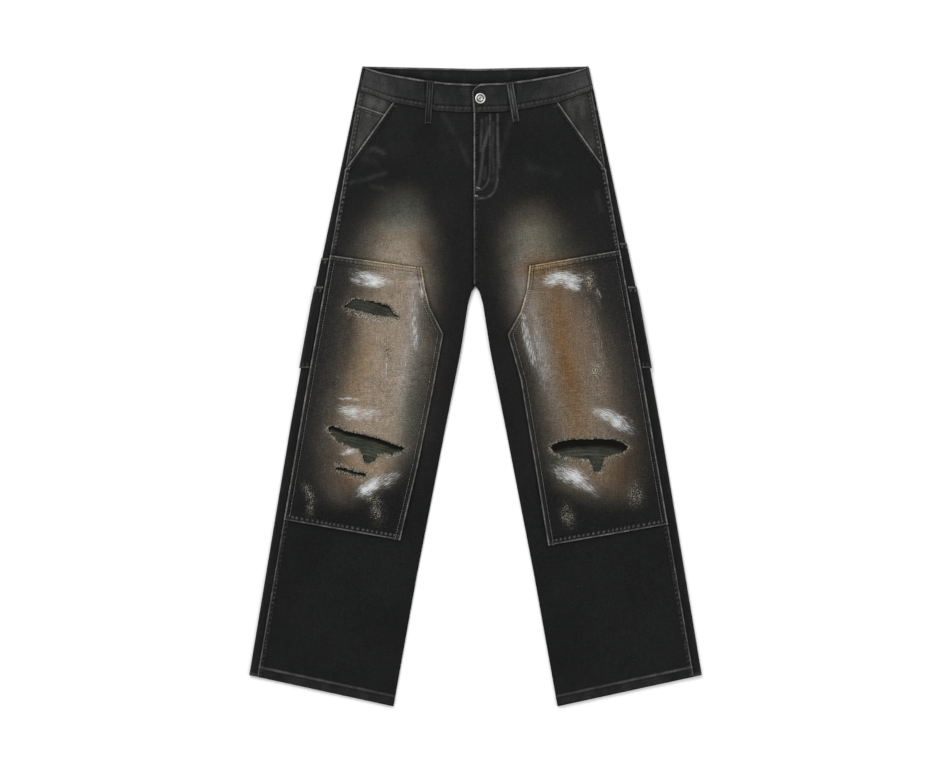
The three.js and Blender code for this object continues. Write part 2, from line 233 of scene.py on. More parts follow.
def edged(count, width, rim=(0.35, 1.0, 2.2)):
    """Places from 0 to 1 across a width, evenly spaced, with more of them close to both rims."""
    near = np.array(rim) / width
    inner = np.linspace(near[-1], 1 - near[-1], count)
    return np.concatenate([[0], near[:-1], inner, 1 - near[-2::-1], [1]])


def finer_inside(places):
    """The places drawn towards 0, where the fly is, as t - sin(pi t) / 12."""
    return places - np.sin(math.pi * places) / 12


def closer_at_rips(places):
    """The rows, from 0 at the waist to 1 at the hem, drawn together at the knee and the thigh where
    the rips are: the inverse of the running sum of 1 and a bell at each."""
    even = np.linspace(0, 1, 801)
    crowd = 1 + bell(even - 0.588, 0.042) + 0.55 * bell(even - 0.353, 0.03)
    total = np.concatenate([[0], np.cumsum((crowd[1:] + crowd[:-1]) / 2)])
    return np.interp(places, total / total[-1], even)


def level_at(height):
    """A flat surface at a height."""
    return lambda x, y: 0 * x + height


def at_corners(corners, u, v):
    """Points between four corners given as (x, y), from the top left round to the foot left."""
    (ax, ay), (bx, by), (cx, cy), (dx, dy) = corners
    return mix(mix(ax, bx, u), mix(dx, cx, u), v), mix(mix(ay, by, u), mix(dy, cy, u), v)


def linear(*srgb):
    """A colour given as 0 to 255 in sRGB, as linear light."""
    c = np.array(srgb) / 255
    return np.where(c <= 0.04045, c / 12.92, ((c + 0.055) / 1.055) ** 2.4)


def tint(colour, other, amount):
    """The colours mixed with another by an amount at each point."""
    return colour + (other - colour) * np.clip(amount, 0, 1)[..., None]


# ---- Edges and heights -----------------------------------------------------------------------


def outer_edge(y):
    return along(OUTER_EDGE, y)


def inner_leg(y):
    return along(INNER_LEG, y)


def side_seam(y):
    return along(SIDE_SEAM, y)


def front_inner(y, side):
    """The front's edge at the middle: its lap down to the crotch, then the inner leg."""
    lap = LAP_LEFT if side == 1 else -LAP_RIGHT
    crotch = 0.4 if side == 1 else 4.0
    above = mix(crotch, lap, smooth(170, 176, y))
    return np.where(y >= 170, above, mix(inner_leg(y), crotch, np.clip((y - 160) / 10, 0, 1)))


def back_inner(y):
    return np.where(y >= 160, mix(6.9, 0.2, np.clip((y - 160) / 10, 0, 1)), inner_leg(y))


def front_outer(y):
    """The front's outer edge: the side seam, and above it the hand pocket's slanted mouth."""
    (x0, y0), (x1, y1) = SLASH
    return np.where(y <= y0, side_seam(y) - 0.2, x0 + (x1 - x0) * (y - y0) / (y1 - y0))


def waist_seam(x):
    return along(WAIST_SEAM, np.abs(x))


def hem_line(x):
    return line_at(HEM, x)


def over_hem(x, y):
    """How far in from the hem a point is."""
    return (y - hem_line(x)) * HEM_SQUARE


def over_foot(x, y, side):
    """How far in from a knee patch's foot a point is."""
    return (y - line_at(PATCH_FOOT[side], x)) * PATCH_SQUARE


def patch_inner(side):
    """A knee patch's inner edge as a path of (x, y)."""
    return tuple((x, y) for y, x in PATCH_INNER[side])


def yoke_seam(x):
    return 440 + 30 * np.abs(x) / 205


def band_seam_back(x):
    return 497 + 6 * np.abs(x) / 198


def band_top_back(x):
    return 539.4 + 4 * np.abs(x) / 192


def lift(y):
    """How far the pockets sewn on the back hold it off the ground."""
    return 2 * LAYER * smooth(8, TOOL_FOOT, y) - LAYER * smooth(TOOL_MOUTH, 190, y)


def rise(y):
    """The same for the front, which spans the steps of the back in long slopes."""
    return 2 * LAYER * smooth(-130, 60, y) - LAYER * smooth(150, 290, y)


# Creases as (x0, y0, x1, y1, half width, height), ridges above 0 and troughs below.
FRONT_CREASES = {
    1: (
        (6, 205, 62, 268, 9, 1.3), (8, 188, 86, 232, 8, -1.1), (10, 228, 70, 318, 11, 0.9),
        (40, 300, 128, 322, 13, 0.9), (60, 355, 175, 338, 15, -0.9), (70, 400, 150, 396, 13, 0.8),
        (52, 430, 74, 330, 9, 0.7), (24, 150, 52, 150, 8, 1.0), (28, 110, 48, 60, 8, 0.9),
        (262, 180, 285, 40, 6, 0.7), (120, -300, 300, -330, 20, 1.1), (150, -380, 350, -402, 24, -1.0),
        (165, -450, 300, -462, 18, 0.9), (90, -205, 118, -330, 10, 1.0),
        (205, -280, 240, -520, 16, 0.8),
    ),
    -1: (
        (10, 212, 70, 262, 9, 1.2), (12, 190, 78, 226, 8, -1.1), (14, 235, 58, 330, 11, 0.9),
        (36, 322, 120, 300, 13, -0.8), (50, 372, 168, 352, 14, 0.9),
        (64, 420, 140, 408, 12, -0.8),
        (26, 445, 44, 352, 9, 0.8), (22, 150, 50, 144, 8, 1.0), (30, 104, 52, 52, 8, -0.9),
        (118, -292, 310, -318, 20, -1.0), (140, -362, 352, -392, 24, 1.1),
        (170, -440, 330, -456, 18, -0.8),
        (92, -200, 120, -318, 10, 0.9), (214, -270, 262, -500, 16, 0.8),
    ),
}
BACK_CREASES = (
    (8, 200, 92, 262, 12, 1.1), (8, 180, 110, 214, 11, -0.9), (30, 300, 60, 240, 12, 0.8),
    (70, 20, 240, -12, 22, 0.8), (90, -120, 270, -150, 24, 0.9), (120, -280, 300, -306, 22, 0.8),
    (150, -420, 340, -440, 22, 0.8), (186, 60, 232, -460, 16, 0.6),
)


def creases(x, y, marks):
    """Soft folds: each is a bell across its line, with its height fading out towards both ends."""
    total = 0
    for x0, y0, x1, y1, width, height in marks:
        length = math.hypot(x1 - x0, y1 - y0)
        ux, uy = (x1 - x0) / length, (y1 - y0) / length
        s = ((x - x0) * ux + (y - y0) * uy) / length
        bow = 0.08 * length * (1 - (2 * s - 1) ** 2)
        across = (y - y0) * ux - (x - x0) * uy - bow
        total = total + height * bell(across, width) * bell(2 * s - 1, 0.85)
    return total


def plateau(d, width):
    """1 over a seam allowance, from its edge at d = 0 to its width, then 0 within 1.2 mm."""
    return 1 - smooth(width - 1.2, width + 1.2, d)


def pucker(s, d, size, seed):
    """The small puffs that a drawn-up seam throws, along it and fading within its size of it."""
    wave = noise(s, 0 * s, size, seed) + 0.5 * noise(s, 0 * s, size * 0.45, seed + 1) - 0.75
    return wave * np.exp(-d / size)


def fly_area(x, y):
    """How far a point is inside the outer stitched J, in millimetres, and negative outside it."""
    right = 37.6 - x - np.where(y < 361, (361 - np.clip(y, 320, 361)) ** 2 / 56, 0)
    return np.minimum(np.minimum(right, y - 320), 470 - y)


def outline_of(rip):
    upper, lower, _ = rip
    return upper + lower[::-1]


def in_rips(x, y, side):
    """The least distance outside any rip, with the ragged edge that worn cloth has."""
    ragged = 1.7 * cloudy(x, y, 7, 41) + 0.9 * (noise(x, y, 2.2, 47) - 0.5)
    return np.minimum.reduce([outside(x, y, outline_of(rip)) for rip in RIPS[side]]) + ragged


def below_rip_edge(x, y, side):
    """How far a point lies below the upper edge of its rip, and how shaded it is by that edge."""
    depth = np.full(np.shape(x), 99.0)
    shade = np.zeros(np.shape(x))
    for upper, lower, dark in RIPS[side]:
        at = along(upper, x) - y
        here = (x > upper[0][0] - 8) & (x < upper[-1][0] + 8) & (at > -9) & (y > along(lower, x) - 9)
        depth = np.where(here, at, depth)
        uneven = at + 3 * cloudy(x, y, 16, 53)
        shade = np.where(here, 1 - smooth(dark * 0.65, dark * 1.15, uneven), shade)
    return depth, shade


def puffs_at(s, seed):
    """The puffs along a drawn-up seam, one every eight millimetres or so: 0 between, 1 on top."""
    phase = s / 7.6 + 1.5 * noise(s, 0 * s, 40, seed)
    height = 0.35 + 0.65 * noise(s, 0 * s, 21, seed + 1)
    return smooth(0.0, 1.0, np.sin(2 * math.pi * phase)) * height


def seam_relief(x, y, side):
    """What the seams add to the front's height: allowances, hems, puffs and puckers."""
    d_side = front_outer(y) - x
    d_slash, s_slash = to_path(x, y, SLASH)
    d_hem = over_hem(x, y)
    puffed = 0.5 * plateau(d_side, 9) + 0.5 * puffs_at(y, 5 + side) * bell(d_side - 5, 3.4)
    total = np.where(y < 372, puffed + 0.7 * pucker(y, np.abs(d_side), 11, 5), 0)
    slashed = 0.7 * plateau(d_slash, 8) + 0.3 * puffs_at(s_slash, 9) * bell(d_slash - 4.5, 3)
    total = total + (slashed + 0.7 * pucker(s_slash, d_slash, 9, 8)) * (y > 366)
    rope = np.sin((x + 0.9 * y) * 0.5 + 2.5 * noise(x, y, 30, 12))
    return total + (1.0 + 0.3 * rope) * plateau(d_hem, 16) + 0.6 * pucker(x, d_hem, 12, 13)


def front_top(x, y, side):
    """The front's upper surface: the level, the lap, the inner leg's turn, seams, waves and creases."""
    d_inner = x - inner_leg(y)
    below = 1 - smooth(139, 170, y)
    turn = np.clip(1 - d_inner / 13, 0, 1)
    closed = 2.05 * (1 - np.sqrt(np.clip(1 - turn**2, 0, 1))) * below
    lap = (1.35 if side == 1 else 0) * (1 - smooth(6, 24, x)) * smooth(160, 174, y)
    middle = 0.5 * (1 - smooth(6.5, 9, x)) * smooth(166, 174, y) * (1 - smooth(318, 324, y))
    total = FRONT_TOP + rise(y) - closed + lap + middle * (side == 1)
    total = total + seam_relief(x, y, side)
    if side == 1:
        inside = fly_area(x, y)
        total = total + 0.6 * smooth(-1.5, 1.5, inside)
        total = total + 0.9 * fly_ripples(x, y)
    total = total + 0.9 * cloudy(x + 700 * side, y, 95, 31) * smooth(0, 30, d_inner + 30 * (y > 160))
    total = total + 0.28 * cloudy(x + 700 * side, y, 22, 35)
    total = total + creases(x, y, FRONT_CREASES[side])
    return total - rip_folds(x, y, side)


def fly_ripples(x, y):
    """The upright ripples that the fly's stitching draws up: 1 along each ridge."""
    total = 0
    for path, width, strength in FLY_RIPPLES:
        d, s = to_path(x, y, path)
        total = total + strength * bell(d, width) * (0.5 + 0.7 * noise(s, 0 * s, 17, 23))
    return total


def rip_folds(x, y, side):
    """The cloth under a rip sinks a little and lies in narrow wrinkles along it."""
    if np.min(y) > 160:
        return 0 * x
    depth = smooth(-0.5, -4, in_rips(x, y, side))
    return depth * (1.6 - 1.3 * wrinkles(x, y, side))


def wrinkles(x, y, side):
    """Narrow folds that follow a rip's upper edge: 0 between and 1 on the ridges."""
    at, _ = below_rip_edge(x, y, side)
    phase = at / 6.2 + 1.5 * noise(x * 0.45, y, 19, 51) + 0.5 * noise(x * 0.3, y, 8, 52)
    return np.abs(np.sin(math.pi * phase)) ** 0.8 * (0.45 + 0.75 * noise(x * 0.35, y, 9, 54))


def under_side(x, y):
    """The back's lower surface, which is its outer one, turned up a little at the inner leg."""
    d_inner = x - inner_leg(y)
    below = 1 - smooth(139, 170, y)
    turn = np.clip(1 - d_inner / 8, 0, 1)
    waves = 0.35 * (cloudy(x + 90, y, 80, 61) + 1)
    held = np.clip(creases(x, y, BACK_CREASES), -0.2, 2) * 0.7 + waves
    return lift(y) + 0.9 * turn**2 * below + held * smooth(2, 20, d_inner + 40 * (y > 160)) * 0.6


# ---- Meshes ----------------------------------------------------------------------------------


def new_piece(name, points, faces, colours, material, marks=None):
    """One object from points in millimetres, faces of four corners and a colour for each point.
    Marks are further values of three numbers a point, by the name that the material reads."""
    if not len(faces):
        raise RuntimeError(f"{name} came out empty")
    used, faces = np.unique(faces, return_inverse=True)
    faces = faces.reshape(-1, 4)
    points = np.asarray(points, float)[used]
    a, b, c, d = (points[faces[:, k]] for k in range(4))
    volume = np.einsum("ij,ij->", a, np.cross(b, c)) + np.einsum("ij,ij->", a, np.cross(c, d))
    if volume < 0:
        faces = faces[:, ::-1]
    mesh = bpy.data.meshes.new(name)
    mesh.vertices.add(len(points))
    mesh.vertices.foreach_set("co", (points * MM).astype(np.float32).ravel())
    mesh.loops.add(faces.size)
    mesh.loops.foreach_set("vertex_index", faces.astype(np.int32).ravel())
    mesh.polygons.add(len(faces))
    mesh.polygons.foreach_set("loop_start", np.arange(0, faces.size, 4, dtype=np.int32))
    mesh.update(calc_edges=True)
    # Each point's colour goes in one attribute: the cloth's dye together with any painted shade and
    # light.
    dye_and_shading = np.ones((len(points), 4), np.float32)
    dye_and_shading[:, :3] = np.asarray(colours)[used]
    mesh.attributes.new("dye_and_shading", "FLOAT_COLOR", "POINT").data.foreach_set("color", dye_and_shading.ravel())
    for key, values in (marks or {}).items():
        values = np.asarray(values)[used].astype(np.float32)
        mesh.attributes.new(key, "FLOAT_VECTOR", "POINT").data.foreach_set("vector", values.ravel())
    mesh.shade_smooth()
    mesh.set_sharp_from_angle(angle=math.radians(48))
    mesh.materials.append(material)
    piece = bpy.data.objects.new(name, mesh)
    bpy.context.scene.collection.objects.link(piece)
    return piece


def shell(name, outer, inner, outer_dye_and_shading, inner_dye_and_shading, material, keep, marks):
    """A closed sheet between two grids. Cells that keep leaves out become holes with walls. The
    marks are the outer grid's."""
    m, n, _ = outer.shape
    index = np.arange(m * n).reshape(m, n)
    quads = np.stack([index[:-1, :-1], index[:-1, 1:], index[1:, 1:], index[1:, :-1]], -1)
    quads = quads.reshape(-1, 4)
    if keep is not None:
        quads = quads[keep.ravel()]
    start = quads.ravel()
    end = np.roll(quads, -1, axis=1).ravel()
    lone = ~np.isin(start * m * n + end, end * m * n + start)
    a, b = start[lone], end[lone]
    walls = np.stack([b, a, a + m * n, b + m * n], -1)
    faces = np.concatenate([quads, quads[:, ::-1] + m * n, walls])
    points = np.concatenate([outer.reshape(-1, 3), inner.reshape(-1, 3)])
    dye_and_shading = np.concatenate([outer_dye_and_shading.reshape(-1, 3), inner_dye_and_shading.reshape(-1, 3)])
    both = {key: np.tile(values.reshape(-1, 3), (2, 1)) for key, values in (marks or {}).items()}
    return new_piece(name, points, faces, dye_and_shading, material, both)


def lay(name, nodes, side, outer, inner, dye_and_shading, lining, slot, keep=None, marks=None):
    """A cloth piece on its side: a closed sheet in its slot's own cloth, coloured outside and inside,
    painted shade included.
    """
    piece = shell(
        name, on_side(outer, side), on_side(inner, side), dye_and_shading, lining, finish(slot), keep, marks)
    sew(piece, nodes)


def on_side(grid, side):
    """A grid worked out as on the left, moved to its side."""
    return grid * np.array([side, 1, 1])


def sew(piece, nodes):
    """Puts a cloth piece in the frame: sets it to ride on the root, and hides the frame's parts that it
    stands for.
    """
    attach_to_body(piece, "root")
    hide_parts(*nodes)


def attach(piece, slot, *nodes):
    """Puts a small piece, such as stitching, in the frame."""
    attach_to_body(piece, "root")
    if nodes:
        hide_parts(*nodes)


def rounded(d, ply):
    """How far a cut or folded edge falls away: a quarter round as deep as half its ply."""
    t = np.clip(1 - d / (0.8 * ply), 0, 1)
    return 0.5 * ply * (1 - np.sqrt(1 - t**2))


def panel_grid(top, foot, inner, outer, rows, places):
    """Points between four edges: x between the inner and outer edge at its y, y between the two
    ends at its x, settled by going round eight times."""
    v = rows[:, None]
    u = places[None, :]
    x = np.broadcast_to(150.0, (len(rows), len(places)))
    y = 0.0
    for _ in range(8):
        y = mix(top(x), foot(x), v)
        x = mix(inner(y), outer(y), u)
    return x, y


# ---- Dye, fading and wear --------------------------------------------------------------------

# Each leg's faded stretch as (y, inner edge, outer edge).
FADE = {
    1: ((-215, 190, 240), (-190, 168, 256), (-150, 140, 260), (-100, 128, 258), (-50, 119, 250),
        (0, 108, 239), (50, 96, 227), (100, 80, 211), (150, 65, 187), (200, 58, 170), (250, 57, 142),
        (300, 66, 118)),
    -1: ((-215, 195, 224), (-190, 182, 232), (-150, 146, 241), (-100, 115, 243), (-50, 104, 237),
         (0, 97, 227),
         (60, 85, 213), (120, 86, 201), (180, 80, 190), (230, 82, 182), (270, 88, 168), (300, 96, 154)),
}
# What the fade is made of, as (x, y, half length, half width, turn, colour, strength).
SPRAYS = {
    1: ((158, 130, 70, 50, -80, "umber", 0.3), (155, 40, 165, 22, -80, "rust", 0.85),
        (76, 170, 85, 17, -80, "pale", 0.66),
        (110, 45, 50, 14, -80, "pale", 1.0), (212, 60, 110, 20, -78, "rose", 0.7),
        (184, 130, 60, 16, -78, "rose", 0.8), (196, 105, 60, 18, -78, "umber", 0.35),
        (122, 208, 46, 14, 8, "umber", 1.0), (150, 240, 40, 22, 8, "sage", 0.4),
        (165, 204, 24, 10, 8, "rust", 0.5), (102, 262, 60, 34, 0, "sage", 0.9),
        (150, 235, 34, 22, 0, "moss", 0.55), (64, 245, 30, 18, 80, "sage", 0.7),
        (256, -140, 46, 20, 70, "umber", 0.95), (222, -150, 34, 26, 0, "umber", 0.5),
        (205, -204, 60, 22, 0, "moss", 0.8), (132, -130, 34, 24, 70, "moss", 0.7),
        (285, -190, 26, 18, 0, "moss", 0.9),
        (112, 200, 34, 12, 8, "rust", 0.95)),
    -1: ((122, 296, 72, 56, 0, "grey", 0.95), (87, 236, 24, 13, 55, "rust", 0.75),
         (140, 255, 44, 8, -6, "rust", 0.3), (200, 25, 80, 22, -80, "sand", 0.85),
         (214, 95, 70, 9, -80, "umber", 0.6), (106, 110, 95, 13, -84, "pale", 0.7),
         (185, 160, 40, 12, 0, "rose", 0.5), (128, 10, 60, 16, -82, "pale", 0.35),
         (112, -60, 50, 16, -75, "sage", 0.5), (103, 0, 150, 17, -82, "grey", 0.8),
         (222, -150, 52, 26, 70, "umber", 0.85),
         (180, -135, 44, 18, 0, "sand", 0.7), (178, -195, 46, 18, 0, "moss", 0.8),
         (150, -110, 30, 16, 0, "sage", 0.4)),
}


def faded(x, y, side):
    """The bleached stretch down the leg: 1 along its middle, falling softly to its four sides."""
    rows = FADE[side]
    shift = 5 * cloudy(x, y, 50, 71 + side) + 2.5 * cloudy(x, y, 16, 75)
    inner = (x - along([(r[0], r[1]) for r in rows], y) + shift) / 9.0
    outer = (along([(r[0], r[2]) for r in rows], y) - x + shift) / 11.5
    height = y + 0.12 * np.abs(x - 115)
    top = smooth(366, 256, height) ** 1.4 if side == -1 else smooth(346, 262, height) ** 1.6
    foot = smooth(-218, -150, y + 0.08 * (x - 200) + shift)
    return top * foot / (1 + np.exp(-np.clip(inner, -30, 30))) / (1 + np.exp(-np.clip(outer, -30, 30)))


def blot(x, y, cx, cy, a, b, turn):
    """A soft oval with half lengths a and b, turned by some degrees, from 1 at its middle, and
    the place of each point along and across it."""
    c, s = math.cos(math.radians(turn)), math.sin(math.radians(turn))
    u = (x - cx) * c + (y - cy) * s
    v = -(x - cx) * s + (y - cy) * c
    return np.exp(-((u / a) ** 2 + (v / b) ** 2)), u, v


# Bleach marks as (x, y, half length, half width, turn, strength).
BLEACH = {
    1: ((150, 184, 26, 10, -4, 1.0), (160, 173, 16, 7, -24, 1.0), (132, 177, 15, 7, 12, 0.75),
        (228, -50, 30, 9, -20, 0.75), (243, -62, 22, 9, -34, 0.95), (163, -151, 27, 12, -27, 1.0),
        (182, -164, 24, 8, -38, 0.55), (198, -176, 22, 12, -40, 0.14), (82, 118, 7, 4, -60, 0.8)),
    -1: ((178, 185, 24, 8, 14, 0.95), (170, 176, 24, 7, -2, 0.95), (196, 178, 14, 5, 20, 0.6),
         (206, -42, 22, 9, 6, 0.85), (190, -48, 26, 8, -10, 0.6), (176, -168, 22, 9, -34, 1.0),
         (187, -177, 10, 9, -20, 1.1), (158, -160, 26, 11, -26, 0.5), (212, -109, 14, 5, -18, 0.9),
         (120, 193, 26, 4, 4, 0.25), (105, 178, 12, 5, 0, 0.4)),
}
# Pale streaks as (path, half width, strength).
STREAKS = {
    1: ((((79, 122), (88, 79), (104, 26)), 6.5, 0.5), (((97, 150), (108, 60), (118, -20)), 9, 0.2),
        (((204, 168), (214, 148)), 2.2, 0.32), (((196, 160), (212, 60), (226, -10)), 7, 0.14)),
    -1: ((((107, 130), (103, 95), (101, 56)), 5.5, 0.42),
         (((237, -20), (210, -21), (184, -23)), 2.0, 0.5),
         (((112, 100), (124, 10), (136, -60)), 8, 0.16), (((93, 186), (90, 140)), 4, 0.42),
         (((150, 60), (152, 25), (154, 5)), 2.4, 0.34), (((108, 178), (104, 120), (102, 60)), 9, 0.2)),
}
# Rubbed-through spots as (x, y, half width, half height, turn, strength).
RUBBED = {
    1: ((194, 178, 7, 15, 10, 0.9), (206, 152, 2.5, 15, 16, 0.5), (203, 28, 9, 13, 10, 0.85),
        (192, 120, 6, 30, 14, 0.35), (204, 70, 5, 34, 14, 0.3), (156, -218, 9, 17, 14, 0.6),
        (271, -184, 11, 17, 14, 0.6), (210, -10, 12, 14, 0, 0.25)),
    -1: ((149, 62, 7, 10, 0, 0.12), (283, -180, 6, 14, -30, 0.6),
         (280, -204, 5, 14, 10, 0.6), (167.5, -207, 10, 18, -8, 0.65), (178, -190, 8, 7, 0, 0.6)),
}
# Spots where dark weft shows through in specks, given in the same way.
PITTED = {
    1: ((204, 26, 9, 13, 10, 0.9), (192, 172, 9, 18, 10, 0.6), (270, -186, 11, 17, 14, 0.5)),
    -1: ((149, 62, 9, 15, 0, 0.95), (241, 10, 9, 22, 0, 0.95), (148, 25, 7, 10, 0, 0.4)),
}
# Frayed bands beside the rips as (path, half width, strength).
FRAYED = {
    1: ((((128, -112), (140, -118), (158, -124), (186, -131)), 2.4, 0.5),),
    -1: ((((214, 127), (196, 120), (170, 113), (148, 108), (130, 104)), 3.6, 1.0),
         (((238, -130), (214, -137), (190, -143)), 2.4, 0.8),
         (((232, -147), (210, -154), (187, -160)), 2.2, 0.6),
         (((164, -119), (146, -121), (128, -115)), 1.8, 0.7)),
}


def brushed(x, y, side):
    """White marks dragged on by brush: each point's place along and across its stroke, and how
    much white there is before the bristles break it up."""
    most = np.zeros(np.shape(x))
    place_u = np.zeros(np.shape(x))
    place_v = np.zeros(np.shape(x))
    strokes = []
    for cx, cy, a, b, turn, strength in BLEACH[side]:
        soft, u, v = blot(x, y, cx, cy, a, b, turn)
        strokes.append((strength, (soft * (0.55 + 0.8 * noise(x, y, 11, 83)), u, v)))
    for path, width, strength in STREAKS[side]:
        d, s = to_path(x, y, path)
        upright = abs(path[-1][1] - path[0][1]) > abs(path[-1][0] - path[0][0])
        fading = np.exp(-((2 * s / s.max() - 1) / 0.85) ** 4)
        strokes.append((strength, (bell(d, width) * fading, *((y, x) if upright else (x, y)))))
    for strength, (soft, u, v) in strokes:
        more = strength * soft > most
        most = np.where(more, strength * soft, most)
        place_u = np.where(more, u, place_u)
        place_v = np.where(more, v, place_v)
    return np.stack([place_u, place_v, most], -1)


def rubbed_through(x, y, spots):
    """How much the cloth is rubbed through in soft spots: their strength in the middle of each."""
    total = 0 * x
    for cx, cy, a, b, turn, strength in spots:
        total = np.maximum(total, strength * blot(x, y, cx, cy, a, b, turn)[0])
    return total * (0.35 + 1.2 * noise(x, y, 7, 89))


def frayed(x, y, side):
    """How frayed the cloth is: 1 on a rip's edge, less above it than below, gone within a few
    millimetres, and 1 along the frayed bands."""
    rip = np.clip(in_rips(x, y, side), 0, None)
    above, _ = below_rip_edge(x, y, side)
    zone = np.exp(-rip / mix(2.4, 3.4, smooth(-2, 4, above)))
    for path, width, strength in FRAYED[side]:
        d, _ = to_path(x, y, path)
        zone = np.maximum(zone, strength * bell(d, width * 1.2))
    return zone


def body_dye(x, y, side, tones):
    """The legs' colour: black denim with soft clouds, sprayed with faded colours down the thigh."""
    shape = np.shape(x) + (3,)
    clouds = 1 + 0.2 * cloudy(x + 300 * side, y, 60, 91)
    colour = np.broadcast_to(tones["black"], shape) * clouds[..., None]
    smoke = smooth(0.4, 0.8, noise(x + 300 * side, y * 0.7, 40, 93)) * smooth(150, 300, y)
    smoke = 0.15 * smoke + 0.35 * smooth(-200, 0, y) * (1 - smooth(180, 300, y)) * smooth(60, 180, x)
    colour = tint(colour, tones["smoke"], smoke)
    for path, width, strength in WISPS[side]:
        d, _ = to_path(x, y, path)
        wisp = 0.6 * strength * bell(d, width) * (0.3 + noise(x, y, 12, 99))
        colour = tint(colour, tones["worn"], wisp)
    fade = faded(x, y, side)
    old = np.broadcast_to(tones["taupe" if side == -1 else "clay"], shape)
    for cx, cy, a, b, turn, key, strength in SPRAYS[side]:
        uneven = 0.85 + 0.3 * noise(x, y, 24, 94)
        old = tint(old, tones[key], strength * uneven * blot(x, y, cx, cy, a, b, turn)[0])
    mottle = 1 + 0.09 * cloudy(x, y, 26, 95) + 0.10 * cloudy(x * 3, y * 0.4, 12, 97)
    mottle = mottle + 0.10 * cloudy(x * 0.4, y * 2, 6, 98)
    colour = tint(colour, old * mottle[..., None], fade)
    rim = 4 * fade * (1 - fade)
    return tint(colour, tones["deep_moss"], 0.4 * rim)


# Pale scratches on the hips as (path, half width, strength).
WISPS = {
    1: ((((176, 428), (196, 402)), 4, 0.16), (((60, 455), (44, 400), (30, 350)), 5, 0.06),
        (((90, 372), (140, 360)), 6, 0.05), (((206, 330), (214, 300)), 4, 0.1)),
    -1: ((((214, 345), (190, 351), (152, 362)), 3.5, 0.12),
         (((186, 398), (172, 404), (156, 396)), 4, 0.13),
         (((190, 388), (170, 382)), 5, 0.06), (((56, 462), (30, 420), (12, 380)), 3.5, 0.08),
         (((176, 340), (150, 334)), 4, 0.08)),
}


def rubbed(s, d, width, seed, strength):
    """Wear along an edge: bright on the edge itself, broken up along it, gone within the width."""
    ticks = 0.6 + 0.8 * noise(s, d, 2.4, seed + 1)
    broken = 0.45 + 0.55 * smooth(0.25, 0.75, noise(s, d * 3, 9, seed)) * ticks
    return strength * np.exp(-d / width) * broken


def worn_line(s, d, at, width, seed):
    """A rubbed line at a distance in from an edge, broken up along its length."""
    ticks = 0.6 + 0.8 * noise(s, d, 2.4, seed + 1)
    broken = 0.55 + 0.45 * smooth(0.25, 0.75, noise(s, 0 * s, 9, seed)) * ticks
    return bell(d - at, width) * broken


def seam_colour(colour, s, d, tones, seed, edge, light=None, *, rows, puffs=0.3, rim=0.6):
    """A topstitched edge: painted shade right at its rim, a rubbed line on it, painted shade in the
    hollows where the rows of stitching sink in, and rubbed puffs between them."""
    light = tones["worn"] if light is None else light
    # Painted shade: dark at the rim and along each sunken row of stitching.
    hollow = rim * bell(d, 0.7)
    for row in rows:
        hollow = hollow + 0.85 * bell(d - row, 1.1) * (0.7 + 0.4 * noise(s, 0 * s, 26, seed + 5))
    colour = colour * (1 - np.clip(hollow, 0, 0.88))[..., None]
    colour = tint(colour, light, 1.15 * edge * worn_line(s, d, 1.7, 0.95, seed))
    if len(rows) > 1:
        between = (rows[0] + rows[1]) / 2
        colour = tint(colour, light, 1.25 * puffs * puffs_at(s, seed + 3) * bell(d - between, 1.7))
    return colour


